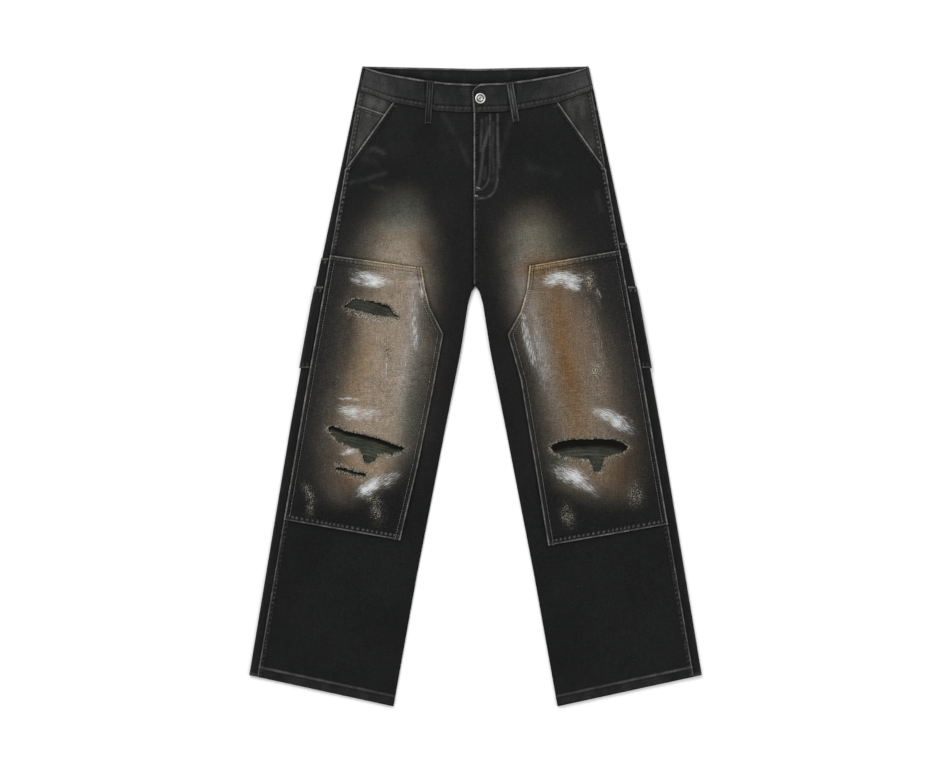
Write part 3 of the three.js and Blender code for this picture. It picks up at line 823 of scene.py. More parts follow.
def front_dye_and_shading(x, y, side, tones):
    """A front panel's colour: the leg's, its seams, and the dark cloth that the rips show, with painted
    shade and light beside its seams and the pieces over it, and in the rips.
    """
    colour = body_dye(x, y, side, tones)
    far = np.full(np.shape(x), 99.0)
    d_side = np.where(y < 372, front_outer(y) - x, far)
    high = smooth(200, 300, y)
    colour = seam_colour(
        colour, y, d_side, tones, 101, 0.5 + 0.2 * high, rows=(3.4, 8.4), puffs=0.22 + 0.4 * high)
    d_slash, s_slash = to_path(x, y, SLASH)
    d_slash = np.where(y > 362, d_slash, far)
    colour = seam_colour(colour, s_slash, d_slash, tones, 105, 1.0, rows=(3.2, 8.6), puffs=0.06)
    d_hem = over_hem(x, y)
    hem = plateau(d_hem, 15)
    colour = tint(colour, tones["smoke"], hem * 0.8 * noise(x, y, 13, 109))
    # Painted shade: a dark line in the groove below the hem's stitching and another along the hem's
    # edge.
    colour = colour * (1 - 0.45 * bell(d_hem - 14.2, 1.2) - 0.5 * bell(d_hem, 1.0))[..., None]
    colour = tint(colour, tones["worn"], 0.42 * worn_line(x, d_hem, 16.6, 1.1, 111))
    # Painted shadow that the knee patch's edges cast on the front.
    outlines = (PATCH_TOP[side], PATCH_FOOT[side], patch_inner(side))
    d_patch = np.minimum.reduce([to_path(x, y, path)[0] for path in outlines])
    colour = colour * (1 - 0.8 * np.exp(-d_patch / 2.2))[..., None]
    # Painted shade on the front just below the waistband's lower edge.
    waist = waist_seam(x) - y
    colour = colour * (1 - 0.55 * np.exp(-np.clip(waist, 0, None) / 2.5))[..., None]
    if side == 1:
        d_mid = x - LAP_LEFT + 0 * y
        edge = 0.35 + 0.55 * smooth(325, 340, y)
        mid = seam_colour(colour, y, d_mid, tones, 115, edge, rows=(3.6, 6.6), puffs=0.1)
        colour = np.where((y > 166)[..., None], mid, colour)
        for path, strength in ((FLY_OUTER, 0.28), (FLY_INNER, 0.22)):
            d, s = to_path(x, y, path)
            # Painted shade in the groove beside each row of the fly's stitching.
            colour = colour * (1 - 0.35 * bell(d - 2.4, 1.6))[..., None]
            colour = tint(colour, tones["worn"], strength * worn_line(s, d, 0, 1.6, 119))
        colour = tint(colour, tones["worn"], 0.2 * fly_ripples(x, y))
    else:
        # Painted shadow of the left front's lap along the right front's middle edge.
        beside = np.exp(-np.clip(x - 3.6, 0, None) / 2.6) * (y > 166)
        colour = colour * (1 - 0.5 * beside)[..., None]
    below = (in_rips(x, y, side) < 8) & (y < 160)
    _, shade = below_rip_edge(x, y, side)
    ridge = wrinkles(x, y, side)
    olive = tones["olive"] * (0.7 + 0.6 * noise(x, y, 14, 55))[..., None]
    # Painted light on the wrinkles' ridges, palest on their crests, and painted shade between them.
    olive = olive * (0.45 + 0.6 * ridge)[..., None]
    olive = tint(olive, tones["sage"], 0.6 * smooth(0.85, 1.0, ridge) * noise(x * 0.4, y, 9, 57))
    olive = tint(olive, tones["pit"], shade)
    return np.where(below[..., None], olive, colour)


def patch_dye_and_shading(x, y, side, tones):
    """A knee patch's colour: the leg's fade with white bleach, rubbed edges and frayed rips, with
    painted shade in its seams' hollows and round its rips.
    """
    colour = body_dye(x, y, side, tones)
    fade = smooth(0.15, 0.75, faded(x, y, side))
    thread = tint(np.broadcast_to(tones["worn"], colour.shape), tones["cream"], fade)
    top = (line_at(PATCH_TOP[side], x) - y) * PATCH_SQUARE
    foot = over_foot(x, y, side)
    inner, s_inner = to_path(x, y, patch_inner(side))
    outer = side_seam(y) - 0.4 - x
    puffs = 0.12 + 0.3 * (1 - fade)
    edge = 0.7 + 0.2 * fade
    colour = seam_colour(colour, x, top, tones, 121, edge, thread, rows=(4.0, 8.6, 14), puffs=puffs)
    colour = seam_colour(colour, x, foot, tones, 125, 0.62, thread, rows=(3.8, 10.5), puffs=0.55)
    colour = tint(colour, thread, (0.1 + 0.4 * fade) * worn_line(x, top, 6.2, 0.9, 127))
    colour = seam_colour(colour, s_inner, inner, tones, 129, edge, thread, rows=(4.2, 8.8), puffs=0.06)
    colour = seam_colour(colour, y, outer, tones, 133, 0.85, thread, rows=(3.6, 7.6), puffs=0.06)
    # Each rip's rim: the frayed edge's own dark with painted shade, wider along the upper edge.
    above, _ = below_rip_edge(x, y, side)
    rim = np.where(above < 0, 2.4, 1.5)
    return tint(colour, tones["dark"], 0.9 * bell(np.clip(in_rips(x, y, side), 0, None), rim))


def plain_dye(x, y, tones, key, seed=141):
    """A plain piece's colour with soft clouds."""
    clouds = 1 + 0.2 * cloudy(x, y, 40, seed)
    return np.broadcast_to(tones[key], np.shape(x) + (3,)) * clouds[..., None]


# ---- Materials -------------------------------------------------------------------------------


def tree_of(name):
    """A new material, its node tree and its shader."""
    material = bpy.data.materials.new(name)
    material.use_nodes = True
    tree = material.node_tree
    tree.nodes.clear()
    shader = tree.nodes.new("ShaderNodeBsdfPrincipled")
    output = tree.nodes.new("ShaderNodeOutputMaterial")
    tree.links.new(shader.outputs["BSDF"], output.inputs["Surface"])
    return material, tree, shader


def connect(tree, node, inputs):
    """Sets a node's inputs to values, or links them to other nodes' outputs."""
    for key, value in inputs.items():
        if isinstance(value, bpy.types.NodeSocket):
            tree.links.new(value, node.inputs[key])
        else:
            node.inputs[key].default_value = value


def add_node(tree, kind, inputs=None, **settings):
    """A node with its settings and its inputs."""
    node = tree.nodes.new(kind)
    for key, value in settings.items():
        setattr(node, key, value)
    connect(tree, node, inputs or {})
    return node


def dyed(tree):
    """The object's own place, and the colour that its points carry."""
    place = add_node(tree, "ShaderNodeTexCoord").outputs["Object"]
    return place, add_node(tree, "ShaderNodeAttribute", attribute_name="dye_and_shading").outputs["Color"]


def stretched_noise(tree, place, scale, detail=2.0):
    """Noise on the object's own place, finer along the axes with larger scales, per metre."""
    mapped = add_node(tree, "ShaderNodeMapping", {"Vector": place, "Scale": scale})
    made = add_node(tree, "ShaderNodeTexNoise", {
        "Vector": mapped.outputs["Vector"], "Scale": 1.0, "Detail": detail})
    return made.outputs["Fac"]


def scaled(tree, value, low, high):
    """A value from 0.3 to 0.7 spread over low to high."""
    node = add_node(tree, "ShaderNodeMapRange", {
        "Value": value, "From Min": 0.3, "From Max": 0.7, "To Min": low, "To Max": high})
    return node.outputs["Result"]


def reckoned(tree, operation, a, b):
    return add_node(tree, "ShaderNodeMath", {0: a, 1: b}, operation=operation).outputs[0]


def times(tree, a, b):
    return reckoned(tree, "MULTIPLY", a, b)


def plus(tree, a, b):
    return reckoned(tree, "ADD", a, b)


def lit(tree, colour, amount):
    """A colour made lighter or darker by an amount."""
    node = add_node(tree, "ShaderNodeVectorMath", {0: colour, "Scale": amount}, operation="SCALE")
    return node.outputs["Vector"]


def relief(tree, height, strength, distance):
    """The bump that a height gives, the distance in metres."""
    node = add_node(tree, "ShaderNodeBump", {
        "Height": height, "Strength": strength, "Distance": distance})
    return node.outputs["Normal"]


def painted(tree, colour, other, amount):
    """A colour mixed with another, given as its linear values, by an amount."""
    node = add_node(tree, "ShaderNodeMix", {"Factor": amount}, data_type="RGBA")
    connect(tree, node, {"A": colour, "B": (*other, 1)})
    return node.outputs["Result"]


def stepped(tree, value, low, high, most=1.0):
    """0 where a value is under low, and the most where it is over high."""
    node = add_node(tree, "ShaderNodeMapRange", {
        "Value": value, "From Min": low, "From Max": high, "To Max": most})
    return node.outputs["Result"]


def worn_marks(tree, place, colour):
    """Over a colour: white bleach in the strokes of "brush", which bristles break up along them,
    and bare threads with dark gaps where "bare" says that the cloth is rubbed or frayed."""
    colours = tones()
    brush = add_node(tree, "ShaderNodeAttribute", attribute_name="brush").outputs["Vector"]
    stroke = add_node(tree, "ShaderNodeSeparateXYZ", {"Vector": brush}).outputs["Z"]
    bristles = stretched_noise(tree, brush, (0.09, 0.75, 0.0), 3.0)
    flecks = stretched_noise(tree, place, (620, 620, 0), 2.0)
    broken = plus(tree, times(tree, bristles, 2.8), times(tree, flecks, 1.3))
    white = stepped(tree, plus(tree, plus(tree, stroke, broken), -2.05), 0.12, 1.15)
    white = times(tree, white, stepped(tree, stroke, 0.03, 0.25))
    colour = painted(tree, colour, colours["bleach"], white)
    bare = add_node(tree, "ShaderNodeAttribute", attribute_name="bare").outputs["Vector"]
    bare = add_node(tree, "ShaderNodeSeparateXYZ", {"Vector": bare})
    gaps = stepped(tree, stretched_noise(tree, place, (520, 760, 0), 2.0), 0.5, 0.6)
    ends = stepped(tree, stretched_noise(tree, place, (760, 560, 40), 2.0), 0.53, 0.6)
    ticks = stepped(tree, stretched_noise(tree, place, (620, 420, 90), 2.0), 0.5, 0.58)
    both = plus(tree, times(tree, bare.outputs["X"], 0.55), times(tree, bare.outputs["Y"], 1.6))
    colour = painted(tree, colour, colours["dark"], times(tree, gaps, both))
    specks = stepped(tree, stretched_noise(tree, place, (400, 460, 0), 1.0), 0.52, 0.58)
    colour = painted(tree, colour, colours["dark"], times(tree, specks, bare.outputs["Z"]))
    colour = painted(tree, colour, colours["bone"], times(tree, ends, bare.outputs["X"]))
    frayed_ends = times(tree, ticks, times(tree, bare.outputs["Y"], 0.8))
    return painted(tree, colour, colours["bone"], frayed_ends)


def denim(name, grain, pale, bump, marked=False):
    """Washed denim: the piece's dye with its painted shade and light, broken up by slubs along the
    warp, a fine grain and pale crossing yarns, with the twill's diagonal in the bump."""
    material, tree, shader = tree_of(name)
    place, dye_and_shading = dyed(tree)
    slub = scaled(tree, stretched_noise(tree, place, (700, 60, 300)), 1 - grain * 0.4, 1 + grain * 0.4)
    weft = scaled(tree, stretched_noise(tree, place, (110, 700, 300)), 1 - grain * 0.5, 1 + grain * 0.5)
    fine = scaled(tree, stretched_noise(tree, place, (640, 640, 640), 1.0), 1 - grain, 1 + grain)
    cloth = lit(tree, dye_and_shading, times(tree, times(tree, slub, weft), fine))
    yarn = stepped(tree, stretched_noise(tree, place, (560, 420, 500), 3.0), 0.62, 0.8, pale)
    cloth = add_node(tree, "ShaderNodeVectorMath", {0: cloth, 1: yarn}, operation="ADD")
    cloth = cloth.outputs["Vector"]
    twill = add_node(tree, "ShaderNodeMapping", {
        "Vector": place, "Rotation": (0, 0, math.radians(62)), "Scale": (1, 1, 1)})
    ribs = add_node(tree, "ShaderNodeTexWave", {
        "Vector": twill.outputs["Vector"], "Scale": 260.0, "Distortion": 1.2, "Detail": 1.0})
    height = plus(tree, plus(tree, ribs.outputs["Fac"], fine), weft)
    if marked:
        cloth = worn_marks(tree, place, cloth)
    connect(tree, shader, {
        "Base Color": cloth, "Normal": relief(tree, height, bump, 0.0004), "Roughness": 0.92,
        "Specular IOR Level": 0.12})
    return material


def thread_material(name):
    """Spun thread: the piece's dye with a short twist in the bump."""
    material, tree, shader = tree_of(name)
    place, dye_and_shading = dyed(tree)
    fuzz = scaled(tree, stretched_noise(tree, place, (1500, 1500, 1500)), 0.75, 1.25)
    connect(tree, shader, {
        "Base Color": lit(tree, dye_and_shading, fuzz), "Normal": relief(tree, fuzz, 0.4, 0.0002),
        "Roughness": 0.85, "Specular IOR Level": 0.2})
    return material


def metal_material(name, gloss):
    """Plated metal in the piece's dye, with any painted shade, and fine scuffs in its gloss."""
    material, tree, shader = tree_of(name)
    place, dye_and_shading = dyed(tree)
    scuffs = stretched_noise(tree, place, (500, 900, 500), 4.0)
    tone = scaled(tree, stretched_noise(tree, place, (220, 220, 220)), 0.86, 1.08)
    connect(tree, shader, {
        "Base Color": lit(tree, dye_and_shading, tone), "Roughness": scaled(tree, scuffs, gloss * 0.7, gloss * 1.5),
        "Metallic": 1.0})
    return material


# How each material is made, by its slot or its use.
MATERIALS = {
    "denim": lambda name: denim(name, 0.36, 0.010, 0.4),
    "worn_denim": lambda name: denim(name, 0.34, 0.025, 0.4),
    "bleached_denim": lambda name: denim(name, 0.42, 0.05, 0.5, marked=True),
    "thread": thread_material,
    "nickel": lambda name: metal_material(name, 0.34),
    "zip": lambda name: metal_material(name, 0.4),
}


def finish(key):
    """The scene's materials, each made once."""
    name = f"Jeans_{key}"
    return bpy.data.materials.get(name) or MATERIALS[key](name)


# ---- Settings --------------------------------------------------------------------------------


def length_property(name, words, default, least=0.001):
    return bpy.props.FloatProperty(
        name=name, description=words, default=default, min=least, unit="LENGTH", subtype="DISTANCE")


def colour_property(name, words, *srgb):
    return bpy.props.FloatVectorProperty(
        name=name, description=words, default=tuple(linear(*srgb)), size=3, min=0, max=1,
        subtype="COLOR")


class JeansSizes(bpy.types.PropertyGroup):
    """Sizes that a user would change."""

    cell: length_property("Cloth cell", "Spacing of the cloth's points", 0.003)
    patch_cell: length_property("Patch cell", "Spacing of the knee patches' points", 0.0018)
    stitch_pitch: length_property("Stitch pitch", "From one stitch to the next", 0.0042)
    stitch_length: length_property(
        "Stitch length", "How much of the pitch shows as thread", 0.0033, 0.0005)
    thread: length_property("Thread", "Thickness of the sewing thread", 0.00085, 0.0001)
    fray: length_property("Fray length", "How far loose yarns stand out of a rip", 0.005)


class JeansColours(bpy.types.PropertyGroup):
    """Colours that a user would change."""

    black: colour_property("Black", "The dyed denim", 24, 24.6, 25)
    smoke: colour_property("Smoke", "The haze rubbed into the hips", 44, 44, 44)
    worn: colour_property("Worn", "Rubbed seams and edges", 128, 129, 126)
    grey: colour_property("Grey", "The fade high on the thigh", 112, 113, 104)
    taupe: colour_property("Taupe", "The right leg's fade", 142, 128, 112)
    clay: colour_property("Clay", "The left leg's fade", 116, 104, 90)
    pale: colour_property("Pale", "The palest, pinkish grey of the fade", 146, 138, 132)
    rose: colour_property("Rose", "The pinkish brown of the fade", 124, 106, 94)
    sand: colour_property("Sand", "The yellow brown of the fade", 142, 120, 94)
    sage: colour_property("Sage", "The greenish grey of the fade", 103, 101, 89)
    rust: colour_property("Rust", "The orange-brown stain", 110, 83, 53)
    umber: colour_property("Umber", "The deep brown stain", 96, 74, 52)
    moss: colour_property("Moss", "The dark greenish grey of the fade", 66, 66, 56)
    deep_moss: colour_property("Deep moss", "The rim of the fade", 43, 44, 38)
    olive: colour_property("Olive", "The cloth under the rips", 62, 65, 55)
    pit: colour_property("Pit", "That cloth in the shade of a rip's edge", 16, 13, 9)
    # Dark also paints the shade along the rips' rims, besides the dark gaps and specks in rubbed cloth
    # and the undersides of the patches and the coin pocket.
    dark: colour_property("Dark", "The rips' own rim", 26, 25, 20)
    bleach: colour_property("Bleach", "The white marks", 214, 217, 217)
    cream: colour_property("Cream", "Bare and rubbed thread on the fade", 188, 170, 140)
    ecru: colour_property("Ecru", "Frayed yarn", 138, 131, 115)
    bone: colour_property("Bone", "Bare thread where the cloth is rubbed through", 186, 180, 164)
    band: colour_property("Band", "The washed waistband", 31, 32, 32)
    facing: colour_property("Facing", "The pocket facings", 53, 54, 52)
    sewing: colour_property("Sewing", "The sewing thread", 52, 52, 50)
    nickel: colour_property("Nickel", "The button", 226, 225, 218)
    zip_metal: colour_property("Zip", "The zip's metal", 150, 148, 142)


WOVEN = 0.86  # how much of a dye's lightness is left once it is woven


def tones():
    """The colours by name, as arrays."""
    colours = bpy.context.scene.jeans_colours
    return {key: np.array(getattr(colours, key)) * WOVEN for key in JeansColours.__annotations__}


def cells(length, size):
    """How many points a length takes at a cell size, both in the same unit."""
    return max(2, int(round(length / size)) + 1)


def lower_ply(grid, ply):
    """The same grid one ply under."""
    return grid - ply * np.array((0, 0, 1))


# ---- Operators -------------------------------------------------------------------------------


class JEANS_OT_fronts(bpy.types.Operator):
    """Make the two front panels."""

    bl_idname = "jeans.fronts"
    bl_label = "Front panels"

    def execute(self, context):
        size = context.scene.jeans_sizes.cell / MM
        colour = tones()
        for label, side in SIDES.items():
            rows = closer_at_rips(edged(cells(1000, size * 0.9), 1010, FINE_RIM))
            places = finer_inside(edged(cells(190, size), 200, FINE_RIM))
            x, y = panel_grid(
                lambda x: waist_seam(x) - 0.3, hem_line, lambda y: front_inner(y, side), front_outer,
                rows, places)
            z = front_top(x, y, side)
            rim = np.minimum(x - front_inner(y, side), front_outer(y) - x)
            rim = np.minimum(rim, y - hem_line(x))
            grid = np.stack([x, y, z - rounded(rim, WALL)], -1)
            under = np.stack([x, y, z - WALL + rounded(rim, WALL) * 0.8], -1)
            lay(
                f"Front_{label}", [f"front_{label}"], side, grid, under, front_dye_and_shading(x, y, side, colour),
                plain_dye(x, y, colour, "smoke"), "denim")
        return {"FINISHED"}


def wrap(top, foot, seam, end, rows, strip, under, offset, side=1, surface=front_top, low=under_side):
    """Points round a leg's outer fold. Columns run from the seam on the front face out to the fold,
    round it by the half circle, and back under to the end. A point is z = middle + half * sin(a)
    with a 90 degrees on the front face and -90 under it, half the thickness plus the offset."""
    turn = np.radians(np.linspace(90, -90, 11))[1:-1]
    a = np.concatenate([1 - strip, np.zeros(len(turn)), np.zeros(len(under))])
    c = np.concatenate([np.zeros(len(strip)), np.zeros(len(turn)), under])
    cos = np.concatenate([np.zeros(len(strip)), np.cos(turn), np.zeros(len(under))])
    sin = np.concatenate([np.ones(len(strip)), np.sin(turn), -np.ones(len(under))])
    v = rows[:, None]
    x = np.broadcast_to(180.0, (len(rows), len(a)))
    for _ in range(8):
        y = mix(top(x), foot(x), v)
        edge = outer_edge(y)
        half = (surface(edge - 2.4, y, side) - low(edge - 2.4, y)) / 2
        centre = edge - half
        flat = a * seam(y) + c * end(y) + (1 - a - c) * centre
        x = flat + half * cos
    high = surface(flat, y, side)
    deep = low(flat, y)
    z = (high + deep) / 2 + ((high - deep) / 2 + offset) * sin
    return np.stack([x + offset * cos, y, z], -1), flat


def ply_round(edges, rows, strip, under, base, side):
    """One ply round the outer fold, its inside at a base: both grids, and x laid flat."""
    outer, flat = wrap(*edges, rows, strip, under, base + WALL, side)
    inner, _ = wrap(*edges, rows, strip, under, base, side)
    return outer, inner, flat


def fold_places(width, reach, size):
    """Column places on the strip, from its seam to the fold, and under, from the fold to the end."""
    strip = edged(cells(width, size), width)[:-1]
    under = edged(cells(reach, size * 1.5), reach)[1:]
    return strip, np.concatenate([[0], under])


def fold_dye_and_shading(points, colour):
    """A wrapped piece's colour: plain, rubbed along the fold, and with painted shade along the side
    seam.
    """
    x, y, z = points[..., 0], points[..., 1], points[..., 2]
    dye_and_shading = plain_dye(x + 900 * (z < 3), y, colour, "black", 151)
    worn = rubbed(y, np.abs(outer_edge(y) - x), 2.0, 153, 0.12)
    # Painted shade in the side seam's groove, on the upper face only.
    seam = np.abs(x - side_seam(y))
    dark = 0.55 * np.exp(-seam / 1.6) * (z > 4)
    return tint(dye_and_shading, colour["worn"], worn) * (1 - dark)[..., None]


class JEANS_OT_backs(bpy.types.Operator):
    """Make the two back panels, which fold round the outer edges on to the front."""

    bl_idname = "jeans.backs"
    bl_label = "Back panels"

    def execute(self, context):
        size = context.scene.jeans_sizes.cell / MM
        colour = tones()
        strip, under = fold_places(12, 230, size * 1.3)
        rows = edged(cells(1000, size * 1.8), 1000)
        for label, side in SIDES.items():
            edges = (
                lambda x: yoke_seam(x) - 0.3, hem_line, lambda y: side_seam(y) + 0.2, back_inner)
            outer, inner, flat = ply_round(edges, rows, strip, under, -WALL, side)
            worn = rubbed(flat, over_hem(flat, outer[..., 1]), 1.8, 157, 0.45)
            lay(
                f"Back_{label}", [f"back_{label}"], side, outer, inner,
                tint(fold_dye_and_shading(outer, colour), colour["worn"], worn),
                plain_dye(flat, outer[..., 1], colour, "smoke"), "denim")
        return {"FINISHED"}


class JEANS_OT_yokes(bpy.types.Operator):
    """Make the two halves of the back yoke."""

    bl_idname = "jeans.yokes"
    bl_label = "Yokes"

    def execute(self, context):
        size = context.scene.jeans_sizes.cell / MM
        colour = tones()
        strip, under = fold_places(4, 195, size)
        rows = edged(cells(50, size), 50)
        for label, side in SIDES.items():
            edges = (
                lambda x: band_seam_back(x) - 0.3, lambda x: yoke_seam(x) + 0.1,
                lambda y: side_seam(y) + 0.2, lambda y: 0 * y + 0.2)
            outer, inner, flat = ply_round(edges, rows, strip, under, -WALL, side)
            worn = rubbed(flat, np.abs(outer[..., 1] - yoke_seam(flat)), 1.8, 159, 0.4)
            lay(
                f"Yoke_{label}", [f"yoke_{label}"], side, outer, inner,
                tint(fold_dye_and_shading(outer, colour), colour["worn"], worn),
                plain_dye(flat, outer[..., 1], colour, "smoke"), "denim")
        return {"FINISHED"}


def pocket_dye_and_shading(points, mouth, colour, seed):
    """A tool pocket tier's colour, rubbed along its mouth, foot and the outer fold, with painted shade
    in the hollows of the mouth's and foot's stitching.
    """
    x, y, z = points[..., 0], points[..., 1], points[..., 2]
    dye_and_shading = plain_dye(x + 900 * (z < 4), y, colour, "black", seed)
    dye_and_shading = seam_colour(dye_and_shading, x + z, mouth - y, colour, seed + 1, 0.7, rows=(4.2, 10), puffs=0.45)
    dye_and_shading = seam_colour(dye_and_shading, x + z, y - TOOL_FOOT, colour, seed + 3, 0.5, rows=(4.2, 10), puffs=0.4)
    worn = rubbed(y, np.abs(outer_edge(y) + 1.5 - x), 1.6, seed + 5, 0.12)
    return tint(dye_and_shading, colour["worn"], worn)


class JEANS_OT_tool_pockets(bpy.types.Operator):
    """Make the two tiers of tool pockets on both outer legs."""

    bl_idname = "jeans.tool_pockets"
    bl_label = "Tool pockets"

    def execute(self, context):
        size = context.scene.jeans_sizes.patch_cell / MM * 1.3
        colour = tones()
        strip, under = fold_places(12, TOOL_REACH, size)
        for label, side in SIDES.items():
            tiers = (
                ("upper", TOOL_TOP[side], 1, "back"), ("lower", TOOL_MOUTH, 2, "tool_pocket_upper"))
            for tier, mouth, layers, below in tiers:
                rows = edged(cells(mouth - TOOL_FOOT, size), mouth - TOOL_FOOT)
                base = (layers - 1) * LAYER + POCKET_GAP
                edges = (
                    lambda x: 0 * x + mouth, lambda x: 0 * x + TOOL_FOOT,
                    lambda y: side_seam(y) + 1.2, lambda y: outer_edge(y) - TOOL_REACH)
                outer, inner, flat = ply_round(edges, rows, strip, under, base, side)
                lay(
                    f"Tool_pocket_{tier}_{label}", [f"tool_pocket_{tier}_{label}"], side, outer, inner,
                    pocket_dye_and_shading(outer, mouth, colour, 160 + layers * 10),
                    plain_dye(flat, outer[..., 1], colour, "smoke"), "denim")
        return {"FINISHED"}


def patch_rim(x, y, side):
    """How far a point of a knee patch is inside its top, foot and inner edges, the least of them."""
    top = line_at(PATCH_TOP[side], x) - y
    foot = y - line_at(PATCH_FOOT[side], x)
    inner, _ = to_path(x, y, patch_inner(side))
    return np.minimum(np.minimum(top, foot), inner)


def patch_top(x, y, side):
    """A knee patch's upper surface: one ply on the front, thicker along its turned-in edges and
    curled up a little round the rips."""
    rim = patch_rim(x, y, side)
    turned = 0.6 * plateau(rim, 10) + 0.9 * pucker(x + y, rim, 10, 55)
    curl = 1.1 * np.exp(-np.clip(in_rips(x, y, side), 0, None) / 5) * (0.4 + noise(x, y, 14, 57))
    return front_top(x, y, side) + WALL + 0.1 + turned + curl + rip_folds(x, y, side)


def drawn_to_rips(x, y, side, reach):
    """The points within reach of a rip's edge moved on to it, down the slope of the distance, and
    which cells are left outside the rips."""
    rip = in_rips(x, y, side)
    step = 0.4
    gx = (in_rips(x + step, y, side) - rip) / step
    gy = (in_rips(x, y + step, side) - rip) / step
    steep = np.maximum(gx**2 + gy**2, 0.25)
    near = np.abs(rip) < reach
    x = np.where(near, x - rip * gx / steep, x)
    y = np.where(near, y - rip * gy / steep, y)
    rip = np.where(near, 0, rip)
    middle = (rip[1:, 1:] + rip[1:, :-1] + rip[:-1, 1:] + rip[:-1, :-1]) / 4
    return x, y, middle > 0.05


class JEANS_OT_knee_patches(bpy.types.Operator):
    """Make the reinforcing patches over the thighs and knees, with their rips."""

    bl_idname = "jeans.knee_patches"
    bl_label = "Knee patches"

    def execute(self, context):
        size = context.scene.jeans_sizes.patch_cell / MM
        colour = tones()
        for label, side in SIDES.items():
            x, y = panel_grid(
                lambda x: line_at(PATCH_TOP[side], x), lambda x: line_at(PATCH_FOOT[side], x),
                lambda y: along(PATCH_INNER[side], y), lambda y: side_seam(y) - 0.4,
                edged(cells(455, size), 470, FINE_RIM), edged(cells(172, size), 190, FINE_RIM))
            x, y, keep = drawn_to_rips(x, y, side, size * 0.55)
            rim = np.minimum(patch_rim(x, y, side), side_seam(y) - 0.4 - x)
            z = patch_top(x, y, side)
            grid = np.stack([x, y, z - rounded(rim, WALL)], -1)
            base = front_top(x, y, side) + rip_folds(x, y, side) * 0.9 + 0.05
            bare = [rubbed_through(x, y, RUBBED[side]), frayed(x, y, side),
                    rubbed_through(x, y, PITTED[side])]
            lay(
                f"Knee_patch_{label}", [f"knee_patch_{label}"], side, grid, np.stack([x, y, base], -1),
                patch_dye_and_shading(x, y, side, colour), plain_dye(x, y, colour, "dark"), "bleached_denim",
                keep, {"brush": brushed(x, y, side), "bare": np.stack(bare, -1)})
        return {"FINISHED"}


WAIST_LEVEL = LAYER + WALL + 2.4  # underside of the front pieces at the waist


def waist_top(x):
    return along(WAIST_TOP, np.abs(x))


def band_start(side, v):
    """The inner end of a front waistband half at a place v up its height, the tab's tip rounded."""
    if side == -1:
        return -float(BAND_LAP) + 0 * v
    tip = np.clip((v - 0.8) / 0.2, 0, 1)
    return mix(-3.6, -7.0, v) + 11 * (1 - np.sqrt(1 - tip**2))


def band_height(x, v, side):
    """The front waistband's upper surface: two plies, crowned, and the left half's tab raised over
    the right half."""
    tab = (BAND + TAB_GAP) * (1 - smooth(26, 48, x)) * (side == 1)
    crown = 0.25 * np.sin(math.pi * v) + 0.5 * pucker(x, BAND_HEIGHT * np.minimum(v, 1 - v), 9, 25)
    wave = 0.35 * cloudy(x + 500 * side, 60 * v, 42, 27)
    return WAIST_LEVEL + BAND + tab + crown + wave


def band_dye_and_shading(x, v, s, colour, seed):
    """A waistband's colour: washed, rubbed along its top edge and in puffs over its lower seam, with
    painted shade in the hollows of its stitching and along both edges.
    """
    low, high = BAND_HEIGHT * v, BAND_HEIGHT * (1 - v)
    dye_and_shading = plain_dye(s, low, colour, "band", seed)
    patchy = smooth(0.45, 0.8, noise(s, low, 15, seed + 2))
    crimps = noise(s, 10 * v, 4.5, seed + 3) * smooth(0.75, 0.1, v)
    dye_and_shading = tint(dye_and_shading, colour["worn"], 0.035 * patchy + 0.06 * crimps + 0.12 * smooth(110, 190, x))
    dye_and_shading = seam_colour(dye_and_shading, s, high, colour, seed + 4, 0.95, rows=(4.0,), rim=0.3)
    return seam_colour(dye_and_shading, s, low, colour, seed + 6, 0.1, rows=(2.6, 10.5), puffs=0.22, rim=0.8)


